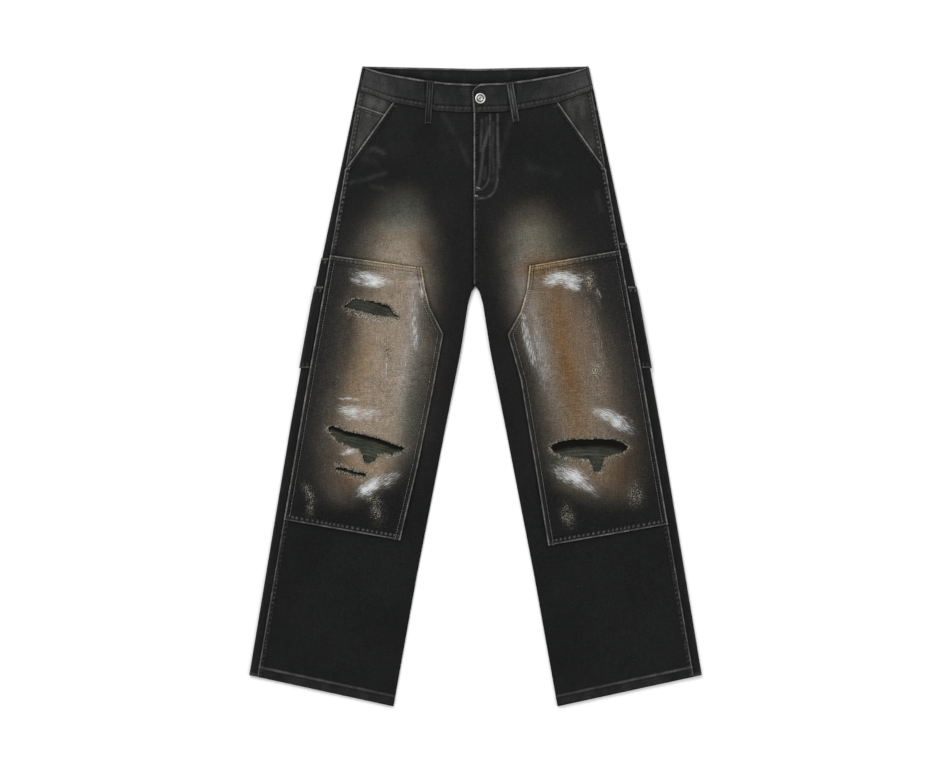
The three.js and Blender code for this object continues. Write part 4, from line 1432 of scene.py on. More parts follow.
class JEANS_OT_waistband(bpy.types.Operator):
    """Make the waistband's two front halves and its back."""

    bl_idname = "jeans.waistband"
    bl_label = "Waistband"

    def execute(self, context):
        size = context.scene.jeans_sizes.patch_cell / MM
        colour = tones()
        for label, side in SIDES.items():
            v = edged(cells(BAND_HEIGHT, size), BAND_HEIGHT)[:, None]
            u = edged(cells(205, size), 205)[None, :]
            start = band_start(side, v)
            end = mix(196.0, 187.2, v)
            x = mix(start, end, u)
            y = mix(waist_seam(x), waist_top(x), v)
            y = y - 9 * smooth(10, -7, x) * v * (side == 1)
            rim = np.minimum(BAND_HEIGHT * np.minimum(v, 1 - v), np.minimum(x - start, end - x))
            z = band_height(x, v, side)
            grid = np.stack([x, y, z - rounded(rim, BAND)], -1)
            under = np.stack([x, y, z - BAND + rounded(rim, BAND) * 0.8], -1)
            post = np.hypot(x - BUTTON[0] * side, y - BUTTON[1])
            keep = (post[1:, 1:] + post[:-1, :-1]) / 2 > (3.4 if side == 1 else -1)
            dye_and_shading = band_dye_and_shading(x, v + 0 * x, x + 400 * side, colour, 181)
            # Painted shadow beside the front belt loop where it crosses the band.
            dye_and_shading = dye_and_shading * (1 - 0.55 * smooth(10, 6.8, np.abs(x - LOOP_ON_BAND[side])))[..., None]
            if side == 1:
                dye_and_shading = seam_colour(dye_and_shading, y, x - start, colour, 189, 0.7, rows=(4.2,), rim=0.4)
                # Painted shadow in a ring round the button's head.
                dye_and_shading = dye_and_shading * (1 - 0.5 * bell(post - 9, 2.2))[..., None]
            else:
                # Painted shade beside the tab's end, where the right half runs in under it.
                dye_and_shading = dye_and_shading * (1 - 0.6 * smooth(13, 6, x))[..., None]
            lay(f"Waistband_front_{label}", [f"waistband_front_{label}"], side, grid, under, dye_and_shading,
                dye_and_shading * 0.8, "worn_denim", keep)
        self.back(size, colour)
        return {"FINISHED"}

    def back(self, size, colour):
        """The back band runs from one front half round under to the other."""
        rows = edged(cells(43, size), 43)
        strip = edged(cells(3, 1.0), 4.5, (0.3, 0.8))[:-1]
        under = np.linspace(0, 1, cells(190, size))

        def level(x, y, _side):
            return 0 * x + WAIST_LEVEL + BAND

        def low(x, y):
            return 0 * x + LAYER + 0.2 * cloudy(x, y, 50, 191) + 0.1

        def half(offset):
            grid, _ = wrap(
                band_top_back, band_seam_back,
                lambda y: outer_edge(y) - 4.5, lambda y: 0 * y, rows, strip, under, offset,
                surface=level, low=low)
            return np.concatenate([grid, (grid * np.array([-1, 1, 1]))[:, -2::-1]], 1)

        outer, inner = half(0), half(-BAND)
        v = (1 - rows)[:, None] + 0 * outer[..., 0]
        dye_and_shading = band_dye_and_shading(outer[..., 0], v, outer[..., 0] + 3 * outer[..., 2], colour, 193)
        inside = band_dye_and_shading(inner[..., 0], v, inner[..., 0], colour, 197)
        # Painted shade: the back band's inside darker throughout, and darkest just above the front
        # band's top edge.
        shade_near_front_band = smooth(14, 1, inner[..., 1] - waist_top(inner[..., 0]))
        inside = inside * (0.85 - 0.5 * shade_near_front_band)[..., None]
        lay("Waistband_back", ["waistband_back"], 1, outer, inner, dye_and_shading, inside, "worn_denim")


def ribbon(name, path, width, ply, nodes, up=1, worn=0.25):
    """A belt loop: its path of (x, y, z) points carried as a folded strip, three plies thick, and
    worn on its edges and along its middle."""
    colour = tones()
    path = np.array(path, float)
    steps = np.concatenate([[0], np.cumsum(np.linalg.norm(np.diff(path, axis=0), axis=1))])
    s = np.linspace(0, steps[-1], cells(steps[-1], 1.2))
    line = np.stack([np.interp(s, steps, path[:, k]) for k in range(3)], -1)
    line[2:-2, 2] = np.convolve(line[:, 2], np.ones(5) / 5, "valid")
    along_y = np.gradient(line, axis=0)
    across = np.stack([-along_y[:, 1], along_y[:, 0], 0 * s], -1)
    across /= np.linalg.norm(across, axis=1)[:, None]
    v = edged(9, width, (0.3, 0.9))
    side = (v - 0.5) * width
    rim = width * np.minimum(v, 1 - v)[None, :] + 0 * s[:, None]
    rim = np.minimum(rim, np.minimum(s, s[-1] - s)[:, None] + 0.3)
    top = line[:, None, :] + across[:, None, :] * side[None, :, None]
    groove = 0.25 * bell(side, 1.2)[None, :] - 0.2 * bell(np.abs(side) - width * 0.3, 0.8)[None, :]
    grid = top + up * (ply - rounded(rim, ply) - groove)[..., None] * np.array([0, 0, 1])
    base = top + up * (rounded(rim, ply) * 0.6)[..., None] * np.array([0, 0, 1])
    d = np.minimum(v, 1 - v)[None, :] * width + 0 * s[:, None]
    dye_and_shading = plain_dye(grid[..., 0], grid[..., 1], colour, "band", 201) * 0.8
    dye_and_shading = seam_colour(dye_and_shading, s[:, None] + 0 * d, d, colour, 203, worn, rows=(3.6,), rim=0.6)
    middle = bell(side, 1.3)[None, :] * noise(s, 0 * s, 14, 205)[:, None]
    dye_and_shading = tint(dye_and_shading, colour["worn"], 1.1 * worn * middle * smooth(1.0, 0.3, s / s[-1])[:, None])
    lay(name, nodes, 1, grid, base, dye_and_shading, dye_and_shading * 0.8, "worn_denim")


class JEANS_OT_belt_loops(bpy.types.Operator):
    """Make the five belt loops."""

    bl_idname = "jeans.belt_loops"
    bl_label = "Belt loops"

    def execute(self, context):
        over = WAIST_LEVEL + BAND + 0.5
        on_panel = WAIST_LEVEL + WALL + 0.9
        for label, side in SIDES.items():
            (x0, y0), (x1, y1) = FRONT_LOOPS[side]
            heights = ((y0, over), (466, over + 0.1), (456, on_panel), (y1, on_panel))
            path = [(side * mix(x0, x1, (y0 - y) / (y0 - y1)), y, z) for y, z in heights]
            ribbon(f"Belt_loop_front_{label}", path, 12.5, 1.5, [f"belt_loop_front_{label}"],
                   worn=0.55 if side == 1 else 0.2)
        for label, x in {"left": 118, "center": 0, "right": -118}.items():
            path = ((x, band_top_back(x) - 1.5, 1.3), (x, 470, 1.3))
            ribbon(f"Belt_loop_back_{label}", path, 13, 1.25, [f"belt_loop_back_{label}"],
                   up=-1)
        return {"FINISHED"}


def facing_dye_and_shading(x, y, side, colour):
    """The washed cloth in the hand pocket's mouth, with painted shade along the slanted edge and the
    waist.
    """
    dye_and_shading = plain_dye(x, y, colour, "facing", 223) * (0.85 if side == 1 else 1.2)
    grain = smooth(0.3, 0.9, noise(x * 1.5, y * 0.6, 12, 225)) * (0.1 if side == 1 else 0.16)
    dye_and_shading = tint(dye_and_shading, colour["worn"], grain * smooth(0, 12, side_seam(y) - x))
    dye_and_shading = dye_and_shading * (0.7 + 0.3 * smooth(-6, 34, side_seam(y) - x))[..., None]
    dye_and_shading = seam_colour(dye_and_shading, y, side_seam(y) - x, colour, 227, 0.5, rows=(3.4, 8.4), puffs=0.4)
    # Painted shade under the front's slanted edge and below the waistband.
    shade = 0.6 * np.exp(-to_path(x, y, SLASH)[0] / 2.8) + 0.35 * smooth(14, 0, waist_seam(x) - y)
    if side == -1:
        top = line_through(COIN_TOP, np.clip(x, 150, 205)) - y
        dye_and_shading = seam_colour(dye_and_shading, x, top, colour, 229, 0.75, rows=(3.8, 8.2), puffs=0.15)
        # Painted shade just above the coin pocket's top edge.
        shade = shade + 0.5 * np.exp(-np.abs(top + 1.5) / 1.6) * (top < 0)
    return dye_and_shading * (1 - np.clip(shade, 0, 0.9))[..., None]


class JEANS_OT_hand_pockets(bpy.types.Operator):
    """Make the facings behind the hand pockets' mouths, and the coin pocket on the right one."""

    bl_idname = "jeans.hand_pockets"
    bl_label = "Hand pockets"

    def execute(self, context):
        colour = tones()
        size = context.scene.jeans_sizes.patch_cell / MM
        for label, side in SIDES.items():
            v = edged(cells(130, size), 130)[:, None]
            u = edged(cells(85, size), 85)[None, :]
            y0 = mix(490.0, 362.0, v)
            x = mix(mix(124.0, 200.0, v), np.minimum(side_seam(y0) + 2, outer_edge(y0) - 2.6), u)
            y = mix(waist_seam(x) - 0.6, 362.0, v)
            ripple = 0.5 * cloudy(x + 40 * side, y, 34, 221)
            z = WAIST_LEVEL - 0.35 + ripple * smooth(0, 8, np.minimum(u, 1 - u) * 85)
            grid = np.stack([x, y, z], -1)
            dye_and_shading = facing_dye_and_shading(x, y, side, colour)
            lay(f"Pocket_facing_{label}", [f"pocket_facing_{label}"], side, grid, lower_ply(grid, WALL),
                dye_and_shading, dye_and_shading * 0.7, "worn_denim")
        self.coin_pocket(colour)
        return {"FINISHED"}

    def coin_pocket(self, colour):
        """The coin pocket on the right facing, under the slanted mouth."""
        v = edged(cells(90, 1.6), 90, FINE_RIM)[:, None]
        u = edged(cells(46, 1.6), 46)[None, :]
        slant = SLASH[1][0] + (SLASH[1][1] - mix(464.0, 386.0, v)) * SLASH_LEAN
        outer = side_seam(mix(476.0, 386.0, v)) - 9.8
        x = mix(slant + 0.9, np.maximum(outer, slant + 3), u)
        y = mix(line_through(COIN_TOP, x), 386.0, v)
        rim = np.minimum(90 * v, 40 * (1 - u)) + 0 * x
        z = WAIST_LEVEL + 0.9 + 0.25 * cloudy(x, y, 26, 231)
        grid = np.stack([x, y, z - rounded(rim, 1.1)], -1)
        lay(
            "Coin_pocket", ["coin_pocket"], -1, grid, lower_ply(grid, 1.1),
            facing_dye_and_shading(x, y, -1, colour), plain_dye(x, y, colour, "dark"), "worn_denim")


class JEANS_OT_back_pockets(bpy.types.Operator):
    """Make the two patch pockets on the seat."""

    bl_idname = "jeans.back_pockets"
    bl_label = "Back pockets"

    def execute(self, context):
        colour = tones()
        for label, side in SIDES.items():
            v = edged(cells(150, 3.4), 150)[:, None]
            u = edged(cells(132, 3.4), 132)[None, :]
            x = mix(mix(40.0, 172.0, u), mix(44.0, 166.0, u), v)
            point = 300 + 26 * np.abs(u - 0.5) * 2
            y = mix(mix(435.0, 447.0, u), point, v)
            rim = np.minimum(np.minimum(u, 1 - u) * 130, np.minimum(v, 1 - v) * 145)
            hollow = 0.5 * smooth(0, 12, rim) + 0.3 * cloudy(x, y, 40, 231)
            z = 0.1 + np.clip(0.4 - hollow, 0, 0.4)
            grid = np.stack([x, y, z + rounded(rim, WALL)], -1)
            top = np.stack([x, y, z + 1.15 + 0 * rim], -1)
            dye_and_shading = plain_dye(x, y, colour, "black", 233)
            worn = rubbed(x + y, rim, 1.8, 235, 0.6) + 0.12 * smooth(0.4, 0.8, noise(x, y, 50, 237))
            dye_and_shading = tint(dye_and_shading, colour["worn"], worn)
            lay(f"Back_pocket_{label}", [f"back_pocket_{label}"], side, grid, top, dye_and_shading, dye_and_shading * 0.8,
                "denim")
        return {"FINISHED"}


def boxes(centres, sizes, colours):
    """Points, faces and colours of upright boxes at centres, one row of sizes for each."""
    corner = np.array([(i, j, k) for i in (-1, 1) for j in (-1, 1) for k in (-1, 1)]) / 2
    sides = np.array([
        (0, 1, 3, 2), (4, 6, 7, 5), (0, 4, 5, 1), (2, 3, 7, 6), (0, 2, 6, 4), (1, 5, 7, 3)])
    points = centres[:, None, :] + corner[None] * sizes[:, None, :]
    faces = sides[None] + 8 * np.arange(len(centres))[:, None, None]
    return points.reshape(-1, 3), faces.reshape(-1, 4), np.repeat(colours, 8, axis=0)


class JEANS_OT_fly(bpy.types.Operator):
    """Make the fly's facing and the closed zip behind it."""

    bl_idname = "jeans.fly"
    bl_label = "Fly"

    def execute(self, context):
        colour = tones()
        level = WAIST_LEVEL - LAYER
        self.facing(level, colour)
        y = np.arange(324, 458, 1.6)
        swing = np.where(np.arange(len(y)) % 2 == 0, -1, 1)
        teeth = np.stack([-2.5 + 0.7 * swing, y, 0 * y + level + 0.9], -1)
        tooth = np.broadcast_to((3.2, 0.9, 0.9), teeth.shape)
        tape = np.array([[-8.0, 391, level + 0.3], [3.0, 391, level + 0.3]])
        tape_size = np.array([[10, 136, 0.5], [10, 136, 0.5]])
        slider = np.array([[-2.5, 452, level + 0.75], [-2.5, 440, level + 0.95]])
        slider_size = np.array([[7, 9, 1.3], [4, 15, 0.7]])
        metal, cloth = (np.tile(colour[key], (2, 1)) for key in ("zip_metal", "black"))
        centres = np.concatenate([teeth, tape, slider])
        sizes = np.concatenate([tooth, tape_size, slider_size])
        colours = np.concatenate([np.tile(metal[:1], (len(y), 1)), cloth, metal])
        piece = new_piece("Fly_zip", *boxes(centres, sizes, colours), finish("zip"))
        attach(piece, "zip_metal", "fly_zip")
        return {"FINISHED"}

    def facing(self, level, colour):
        """The facing under the stitched J, with its edges rounded and rubbed."""
        wide, tall, ply = 27, 138, 1.1
        u = edged(cells(wide, 2.0), wide)[None, :]
        v = edged(cells(tall, 2.0), tall)[:, None]
        x, y = at_corners(((9, 460), (36, 460), (30, 332), (9, 322)), u, v)
        rim = np.minimum(np.minimum(u, 1 - u) * wide, np.minimum(v, 1 - v) * tall)
        bend = level + 0.3 * cloudy(x, y, 30, 211) * smooth(0, 10, rim)
        grid = np.stack([x, y, bend + ply - rounded(rim, ply)], -1)
        base = np.stack([x, y, bend + rounded(rim, ply) * 0.5], -1)
        dye_and_shading = plain_dye(x, y, colour, "black", 213)
        dye_and_shading = seam_colour(dye_and_shading, x + y, rim, colour, 215, 0.6, rows=(4.0, 8.4), puffs=0.2)
        lay("Fly_facing", ["fly_facing"], 1, grid, base, dye_and_shading, dye_and_shading * 0.8, "denim")


class JEANS_OT_button(bpy.types.Operator):
    """Make the shank button: a ringed dome turned about its post."""

    bl_idname = "jeans.button"
    bl_label = "Button"

    def execute(self, context):
        foot = WAIST_LEVEL + BAND + 0.3
        head = WAIST_LEVEL + 2 * BAND + TAB_GAP + 0.45
        # The outline turned, as (radius, height, 0 over the foot and 1 over the head's underside).
        profile = np.array([
            (0, 0, 0), (2.2, 0, 0), (2.2, 0, 1), (7.6, 0, 1), (8.5, 0.25, 1), (9, 0.9, 1), (9, 1.6, 1),
            (8.7, 2.2, 1), (8.1, 2.65, 1), (7.4, 2.8, 1), (6.8, 2.6, 1), (6.4, 1.9, 1), (6.0, 1.6, 1),
            (5.3, 1.6, 1), (4.9, 1.85, 1), (4.5, 2.4, 1), (4.0, 2.65, 1), (3.4, 2.68, 1), (3.0, 2.5, 1),
            (2.6, 2.2, 1), (2.0, 1.9, 1), (1.2, 1.75, 1), (0, 1.7, 1)])
        radius = np.where(profile[:, 0] == 0, 0.02, profile[:, 0])
        height = np.where(profile[:, 2] == 0, foot, head) + profile[:, 1]
        angle = np.linspace(0, 2 * math.pi, 72, endpoint=False)
        x = BUTTON[0] + radius[:, None] * np.cos(angle)
        y = BUTTON[1] + radius[:, None] * np.sin(angle)
        points = np.stack([x, y, height[:, None] + 0 * x], -1)
        m, n = x.shape
        index = np.arange(m * n).reshape(m, n)
        nxt = np.roll(index, -1, axis=1)
        faces = np.stack([index[:-1], nxt[:-1], nxt[1:], index[1:]], -1).reshape(-1, 4)
        caps = [np.stack([ring[0::2], ring[1::2], np.roll(ring, -2)[0::2], 0 * ring[0::2] + centre], -1)
                for ring, centre in ((index[0], m * n), (index[-1], m * n + 1))]
        caps[0] = caps[0][:, ::-1]
        points = np.concatenate([points.reshape(-1, 3), [[*BUTTON, foot], [*BUTTON, height[-1]]]])
        faces = np.concatenate([faces, *caps])
        shade = along(((0, 0.1), (1.4, 0.3), (2.4, 0.75), (4.2, 0.7), (4.9, 0.1), (5.9, 0.08),
                       (6.6, 0.8), (8.4, 1), (9, 0.6)), radius)
        shade = np.append(np.repeat(np.where(profile[:, 2] == 0, 0.5, shade), n), (0.5, 0.1))
        colours = shade[:, None] * np.array(tones()["nickel"])
        piece = new_piece("Button", points, faces, colours, finish("nickel"))
        attach(piece, "nickel", "button")
        return {"FINISHED"}


# ---- Stitching and fraying -------------------------------------------------------------------


PATH_STEP = 6  # between a seam path's points


def walk(path, pitch):
    """Places every pitch along a path of (x, y) points, and the way it runs there."""
    path = np.array(path, float)
    steps = np.concatenate([[0], np.cumsum(np.hypot(*np.diff(path, axis=0).T))])
    s = np.arange(pitch / 2, steps[-1], pitch)
    here = np.stack([np.interp(s, steps, path[:, k]) for k in (0, 1)], -1)
    ahead = np.stack([np.interp(s + 0.4, steps, path[:, k]) for k in (0, 1)], -1)
    behind = np.stack([np.interp(s - 0.4, steps, path[:, k]) for k in (0, 1)], -1)
    way = ahead - behind
    return here, way / np.maximum(np.hypot(*way.T), 1e-9)[:, None]


def beads(here, way, z, length, width, up, colours):
    """A short bead of thread at each place: three rings of four corners, the middle one highest
    and both ends pulled into the cloth."""
    s = np.array([-0.5, 0.0, 0.5])
    swell = np.array([0.5, 1.0, 0.5])
    sink = np.array([-0.5, 0.15, -0.5])
    around = np.array([(-1, 0), (0, 1), (1, 0), (0, -1)]) * 0.5
    across = np.stack([-way[:, 1], way[:, 0]], -1)
    flat = here[:, None, None, :] + way[:, None, None, :] * (s * length)[None, :, None, None]
    spread = swell[:, None] * around[None, :, 0] * width
    flat = flat + across[:, None, None, :] * spread[None, :, :, None]
    height = (swell[:, None] * around[None, :, 1] + sink[:, None]) * width * 0.8
    high = z[:, None, None] + up * (height[None] + 0.12)
    points = np.concatenate([flat, high[..., None]], -1)
    ring = np.arange(12).reshape(3, 4)
    nxt = np.roll(ring, -1, axis=1)
    tube = np.stack([ring[:-1], ring[1:], nxt[1:], nxt[:-1]], -1).reshape(-1, 4)
    faces = np.concatenate([tube, [[0, 1, 2, 3], [11, 10, 9, 8]]])
    faces = faces[None] + 12 * np.arange(len(here))[:, None, None]
    return points.reshape(-1, 3), faces.reshape(-1, 4), np.repeat(colours, 12, axis=0)


class Thread:
    """Collects stitches, tacks and loose yarns, and makes them one piece."""

    def __init__(self, side, seed):
        self.side = side
        self.parts = []
        self.colour = tones()
        self.random = np.random.default_rng(seed)
        self.sizes = bpy.context.scene.jeans_sizes

    def add(self, points, faces, colours):
        self.parts.append((points * np.array([self.side, 1, 1]), faces, colours))

    def row(self, path, surface, key="sewing", up=1):
        """One row of stitches along a path, on a surface, paler where the cloth is faded."""
        here, way = walk(path, self.sizes.stitch_pitch / MM)
        here = here + self.random.normal(0, 0.12, here.shape)
        z = surface(here[:, 0], here[:, 1])
        tone = np.clip(self.random.normal(1, 0.25, len(here)), 0.45, 1.7)
        pale = 0.9 * faded(*here.T, self.side) if up == 1 else 0 * z
        dye_and_shading = tint(np.broadcast_to(self.colour[key], (len(z), 3)), self.colour["cream"], pale)
        length, width = self.sizes.stitch_length / MM, self.sizes.thread / MM
        self.add(*beads(here, way, z, length, width, up, dye_and_shading * tone[:, None]))

    def tack(self, start, end, surface, width=2.2, key="sewing"):
        """A bar tack: a close zigzag of short stitches across its line."""
        here, way = walk((start, end), 0.55)
        across = np.stack([-way[:, 1], way[:, 0]], -1)
        z = surface(here[:, 0], here[:, 1])
        tone = np.clip(self.random.normal(1.15, 0.2, len(here)), 0.6, 1.7)
        self.add(*beads(here, across, z + 0.1, width, 0.6, 1, self.colour[key] * tone[:, None]))

    def yarns(self, starts, ways, z, lengths, key, width=0.55, droop=0.3):
        """Loose yarns: thin beads that lie away from their starts."""
        here = starts + ways * (lengths / 2)[:, None]
        tone = np.clip(self.random.normal(1, 0.25, len(here)), 0.4, 1.6)
        dye_and_shading = self.colour[key] * tone[:, None]
        points, faces, colours = beads(here, ways, z, 1.0, width, 1, dye_and_shading)
        grid = points.reshape(len(here), 3, 4, 3)
        stretch = (np.array([-0.5, 0, 0.5])[None] * (lengths[:, None] - 1))[:, :, None]
        grid[..., 0] += stretch * ways[:, 0][:, None, None]
        grid[..., 1] += stretch * ways[:, 1][:, None, None]
        side = self.random.normal(0, 0.12, len(here)) * lengths
        bow = (np.array([0, 1, 0])[None] * side[:, None])[:, :, None]
        grid[..., 0] -= bow * ways[:, 1][:, None, None]
        grid[..., 1] += bow * ways[:, 0][:, None, None]
        grid[..., 2] += (np.array([0.1, 0.12, -0.4])[None] * droop * lengths[:, None])[:, :, None]
        self.add(points, faces, colours)

    def make(self, name, slot="worn_denim"):
        """All that was collected as one piece in the frame, facing outwards on its side."""
        points, faces, colours, count = [], [], [], 0
        for p, f, c in self.parts:
            points.append(p)
            faces.append(f + count if self.side == 1 else f[:, ::-1] + count)
            colours.append(c)
            count += len(p)
        piece = new_piece(name, np.concatenate(points), np.concatenate(faces), np.concatenate(colours),
                          finish("thread"))
        attach(piece, slot)


def across_x(edge, start, end, inset):
    """A path along an edge given as x of y, moved sideways by an inset."""
    y = np.linspace(start, end, max(2, int(abs(start - end) / PATH_STEP)))
    return np.stack([edge(y) + inset, y], -1)


def across_y(edge, start, end, inset):
    """A path along an edge given as y of x, moved up by an inset."""
    x = np.linspace(start, end, max(2, int(abs(start - end) / PATH_STEP)))
    return np.stack([x, edge(x) + inset], -1)


class JEANS_OT_front_stitching(bpy.types.Operator):
    """Sew the front panels: side seams, hems, pocket mouths, centre seam and fly."""

    bl_idname = "jeans.front_stitching"
    bl_label = "Front stitching"

    def execute(self, context):
        for label, side in SIDES.items():
            def on_front(x, y):
                return front_top(x, y, side)
            thread = Thread(side, 300 + side)
            for inset in (-3.4, -8.4):
                thread.row(across_x(side_seam, -488 - 3 * inset / 8, 364, inset - 0.2), on_front)
                thread.row(across_x(side_seam, 376, 498, inset), level_at(WAIST_LEVEL - 0.2))
            (x0, y0), (x1, y1) = SLASH
            for inset in (3.2, 8.6):
                aside = inset * SLASH_ASIDE
                thread.row(((x0 - aside - 2, y0 + 4), (x1 - aside, y1 - 2)), on_front)
            start, end = HEM[0][0] + 2, HEM[1][0] - 14
            thread.row(across_y(hem_line, start, end, 16.4), on_front)
            if side == -1:
                for down in (3.8, 8.2):
                    thread.row(((158.5, 464 - down), (193, 476 - down)), level_at(WAIST_LEVEL + 0.9))
            thread.tack((x0 - 9, y0 + 6), (x0 - 2, y0 + 3), on_front)
            thread.tack((x1 - 2, y1 - 6), (x1 - 9, y1 - 7), on_front)
            if side == 1:
                for path in (FLY_OUTER, FLY_INNER):
                    thread.row(path, on_front)
                for inset, foot in ((3.6, 176), (6.6, 174)):
                    thread.row(((LAP_LEFT + inset, 318), (LAP_LEFT + inset, foot)), on_front)
                thread.tack((1, 338), (8, 336), on_front, width=2.6, key="worn")
                thread.tack((-2, 324), (4, 323), on_front, width=2.6, key="worn")
            thread.make(f"Stitching_front_{label}")
        return {"FINISHED"}


class JEANS_OT_patch_stitching(bpy.types.Operator):
    """Sew the knee patches down and fray their rips and rubbed spots."""

    bl_idname = "jeans.patch_stitching"
    bl_label = "Patch stitching"

    def execute(self, context):
        for label, side in SIDES.items():
            def on_patch(x, y):
                return patch_top(x, y, side)
            (tx0, ty0), (tx1, ty1) = PATCH_TOP[side]
            (fx0, fy0), (fx1, fy1) = PATCH_FOOT[side]
            thread = Thread(side, 320 + side)
            for down in (4.4, 8.2, 13.5):
                thread.row(((tx0 + 3, ty0 - down), (tx1 - 1, ty1 - down)), on_patch)
            for upward in (4.0, 10.5):
                thread.row(((fx0 + 1, fy0 + upward), (fx1 - 2, fy1 + upward)), on_patch)
            for inset, key in ((4.6, "sewing"), (9.4, "worn")):
                thread.row([(px + inset, py) for px, py in patch_inner(side)[:-1]], on_patch, key)
            for inset, key in ((3.6, "sewing"), (9.4, "worn")):
                thread.row(across_x(side_seam, ty1 - 6, fy1 + 6, -0.4 - inset), on_patch, key)
            thread.make(f"Stitching_patch_{label}", "bleached_denim")
            self.fray(label, side, on_patch)
        return {"FINISHED"}

    def fray(self, label, side, on_patch):
        """Loose yarns round every rip, broken threads across it and ticks in the rubbed spots."""
        thread = Thread(side, 340 + side)
        reach = thread.sizes.fray / MM
        for rip in RIPS[side]:
            outline = list(outline_of(rip))
            here, way = walk([*outline, outline[0]], 1.0)
            centre = np.mean(outline, axis=0)
            inward = np.stack([-way[:, 1], way[:, 0]], -1)
            turned = np.sign(np.sum(inward * (centre - here), axis=1))
            inward = inward * np.where(turned == 0, 1, turned)[:, None]
            below = inward[:, 1] > 0.2
            for key, share in (("bone", 0.28), ("ecru", 0.45), ("sewing", 0.6)):
                pick = thread.random.random(len(here)) < share * np.where(below, 1, 0.55)
                count = pick.sum()
                lengths = reach * thread.random.uniform(0.3, 1.0, count) * np.where(below[pick], 1, 0.7)
                lean = thread.random.normal(0, 0.5, count)[:, None]
                ways = inward[pick] + way[pick] * lean
                ways /= np.hypot(*ways.T)[:, None]
                sewn_in = lengths * thread.random.uniform(0.45, 1.0, count)
                starts = here[pick] - ways * sewn_in[:, None]
                z = on_patch(starts[:, 0], starts[:, 1])
                thread.yarns(starts, ways, z + 0.15, lengths, key)
        for cx, cy, a, b, _, strength in RUBBED[side]:
            count = int(a * b * strength / 5)
            spots = thread.random.uniform(-1, 1, (count, 2)) * (a, b) + (cx, cy)
            turn = thread.random.choice([0.1, 1.5, 1.7, 3.0], count)
            turn = turn + thread.random.normal(0, 0.25, count)
            ways = np.stack([np.cos(turn), np.sin(turn)], -1)
            z = on_patch(spots[:, 0], spots[:, 1])
            thread.yarns(spots, ways, z + 0.1, thread.random.uniform(1.2, 2.8, count), "bone", 0.4, 0.1)
        thread.make(f"Fraying_{label}", "bleached_denim")


class JEANS_OT_waist_stitching(bpy.types.Operator):
    """Sew the waistband and tack the belt loops down."""

    bl_idname = "jeans.waist_stitching"
    bl_label = "Waist stitching"

    def execute(self, context):
        for label, side in SIDES.items():
            def on_band(x, y):
                low, high = waist_seam(x), waist_top(x)
                return band_height(x, np.clip((y - low) / (high - low), 0, 1), side)
            thread = Thread(side, 360 + side)
            start, top_start = (-1, 14) if side == 1 else (-5, -8)
            thread.row(across_y(waist_seam, start, 195, 2.4), on_band)
            thread.row(across_y(waist_seam, start, 195, 7.0), on_band)
            thread.row(across_y(waist_top, top_start, 186, -2.6), on_band)
            if side == 1:
                thread.row(((-1.4, 468), (-4.2, 497), (-1, 503), (6, 506.5), (14, 509.5)), on_band)
            (x0, y0), (x1, y1) = FRONT_LOOPS[side]
            thread.tack((x0 - 5, y0 - 2), (x0 + 5, y0 - 2.4), level_at(WAIST_LEVEL + BAND + 2.1))
            thread.tack((x1 - 5, y1 + 3), (x1 + 5, y1 + 2.6), level_at(WAIST_LEVEL + WALL + 2.6))
            inside = across_y(band_top_back, -190 * (side == 1), 190 * (side == -1), -3)
            thread.row(inside, level_at(LAYER + BAND + 0.15))
            thread.row(across_y(band_seam_back, 0, 190, 3), level_at(LAYER), up=-1)
            thread.row(across_y(band_top_back, 0, 186, -3), level_at(LAYER), up=-1)
            thread.make(f"Stitching_waist_{label}")
        return {"FINISHED"}


class JEANS_OT_back_stitching(bpy.types.Operator):
    """Sew the back: yoke seams, seat seam, pockets, hems and the tool pockets' edges."""

    bl_idname = "jeans.back_stitching"
    bl_label = "Back stitching"

    def execute(self, context):
        for label, side in SIDES.items():
            thread = Thread(side, 380 + side)
            for inset in (3, 9):
                thread.row(across_y(yoke_seam, 6, 204, inset), under_side, up=-1)
                thread.row(((inset - 1, 432), (inset - 1, 176)), under_side, up=-1)
            thread.row(across_y(hem_line, HEM[0][0] + 2, HEM[1][0] - 4, 15.5), under_side, up=-1)
            for inset in (2.5, 8):
                outline = ((40 + inset, 430), (44 + inset, 326 + inset), (105, 300 + inset),
                           (166 - inset, 326 + inset), (172 - inset, 440))
                thread.row(outline, level_at(0.12), up=-1)
            for down in (3, 14):
                thread.row(((42, 435 - down), (170, 447 - down)), level_at(0.12), up=-1)
            self.tool_rows(thread, side)
            thread.make(f"Stitching_back_{label}", "denim")
        return {"FINISHED"}

    def tool_rows(self, thread, side):
        """The tool pockets' mouths and feet, on the front strip and under the leg."""
        mouth, lower = TOOL_TOP[side], TOOL_MOUTH
        tiers = ((1, (mouth - 3, mouth - 9)), (2, (lower - 3, lower - 9, TOOL_FOOT + 3, TOOL_FOOT + 9)))
        for layers, heights in tiers:
            step = (layers - 1) * LAYER + WALL + POCKET_GAP

            def above(x, y):
                return front_top(x, y, side) + step

            def beneath(x, y):
                return under_side(x, y) - step
            for y in heights:
                edge = float(outer_edge(y))
                thread.row(((float(side_seam(y)) + 2, y), (edge - 2.5, y)), above)
                thread.row(((edge - 4, y), (edge - TOOL_REACH + 3, y)), beneath, up=-1)


# ---- The stage -------------------------------------------------------------------------------


FLOOR_REACH = 6.0  # from the middle to the floor's sides, in metres
VIEW_WIDTH = 1.615  # how much of the floor the view takes in, in metres


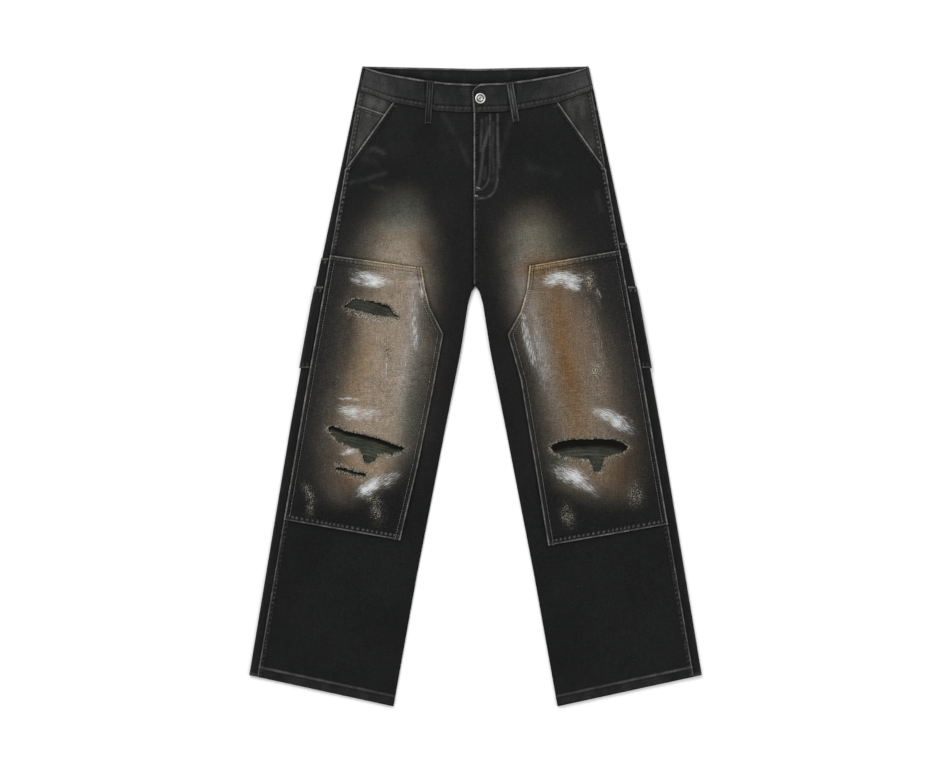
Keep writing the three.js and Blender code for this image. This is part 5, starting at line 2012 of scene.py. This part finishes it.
class JEANS_OT_stage(bpy.types.Operator):
    """Set up the pale floor, the soft light and the camera straight above."""

    bl_idname = "jeans.stage"
    bl_label = "Stage"

    def execute(self, context):
        scene = context.scene
        floor = bpy.data.meshes.new("Floor")
        around = ((-1, -1), (1, -1), (1, 1), (-1, 1))
        floor.from_pydata(
            [(FLOOR_REACH * i, FLOOR_REACH * j, 0) for i, j in around], [], [(0, 1, 2, 3)])
        material, _, shader = tree_of("Floor_paper")
        shader.inputs["Base Color"].default_value = (0.93, 0.93, 0.93, 1)
        shader.inputs["Roughness"].default_value = 1.0
        shader.inputs["Specular IOR Level"].default_value = 0.0
        floor.materials.append(material)
        ground = bpy.data.objects.new("Floor", floor)
        ground.location = (0, 0, -0.0005)
        scene.collection.objects.link(ground)
        world = bpy.data.worlds.new("Studio")
        world.use_nodes = True
        background = world.node_tree.nodes["Background"]
        background.inputs["Color"].default_value = (1, 1, 1, 1)
        background.inputs["Strength"].default_value = 0.74
        scene.world = world
        self.light(scene, "Key", (-1.1, 1.6, 2.5), (1.1, -1.6, -2.5), 1.3, 46)
        self.light(scene, "Fill", (1.6, -0.6, 2.4), (-1.6, 0.5, -2.4), 2.2, 14)
        lens = bpy.data.cameras.new("Camera")
        lens.lens = 85
        lens.sensor_width = 36
        lens.clip_end = 50
        camera = bpy.data.objects.new("Camera", lens)
        camera.location = (-0.00085, -0.0068, VIEW_WIDTH * lens.lens / lens.sensor_width)
        scene.collection.objects.link(camera)
        scene.camera = camera
        scene.view_settings.view_transform = "Standard"
        return {"FINISHED"}

    def light(self, scene, name, place, way, size, power):
        """A soft round lamp at a place, shining one way: sizes in metres, power in watts."""
        lamp = bpy.data.lights.new(name, "AREA")
        lamp.shape = "DISK"
        lamp.size = size
        lamp.energy = power
        holder = bpy.data.objects.new(name, lamp)
        holder.location = place
        z = -np.array(way, float) / np.linalg.norm(way)
        x = np.cross((0, 1, 0), z)
        x /= np.linalg.norm(x)
        y = np.cross(z, x)
        holder.rotation_euler = Matrix(np.stack([x, y, z], -1).tolist()).to_euler()
        scene.collection.objects.link(holder)


OPERATORS = (
    JEANS_OT_stage, JEANS_OT_backs, JEANS_OT_yokes, JEANS_OT_back_pockets, JEANS_OT_hand_pockets,
    JEANS_OT_fly, JEANS_OT_fronts, JEANS_OT_tool_pockets, JEANS_OT_knee_patches, JEANS_OT_waistband,
    JEANS_OT_belt_loops, JEANS_OT_button, JEANS_OT_front_stitching, JEANS_OT_patch_stitching,
    JEANS_OT_waist_stitching, JEANS_OT_back_stitching,
)


class JEANS_PT_panel(bpy.types.Panel):
    """Lists the jeans' pieces, sizes and colours in the sidebar."""

    bl_label = "Ripped jeans"
    bl_space_type = "VIEW_3D"
    bl_region_type = "UI"
    bl_category = "Jeans"

    def draw(self, context):
        for group in (context.scene.jeans_sizes, context.scene.jeans_colours):
            for key in group.__annotations__:
                self.layout.prop(group, key)
        for operator in OPERATORS:
            self.layout.operator(operator.bl_idname)


CLASSES = (JeansSizes, JeansColours, *OPERATORS, JEANS_PT_panel)


def register():
    for cls in CLASSES:
        bpy.utils.register_class(cls)
    bpy.types.Scene.jeans_sizes = bpy.props.PointerProperty(type=JeansSizes)
    bpy.types.Scene.jeans_colours = bpy.props.PointerProperty(type=JeansColours)


def unregister():
    del bpy.types.Scene.jeans_colours
    del bpy.types.Scene.jeans_sizes
    for cls in reversed(CLASSES):
        bpy.utils.unregister_class(cls)


def main():
    register()
    for operator in OPERATORS:
        group, name = operator.bl_idname.split(".")
        getattr(getattr(bpy.ops, group), name)()


if __name__ == "__main__":
    main()
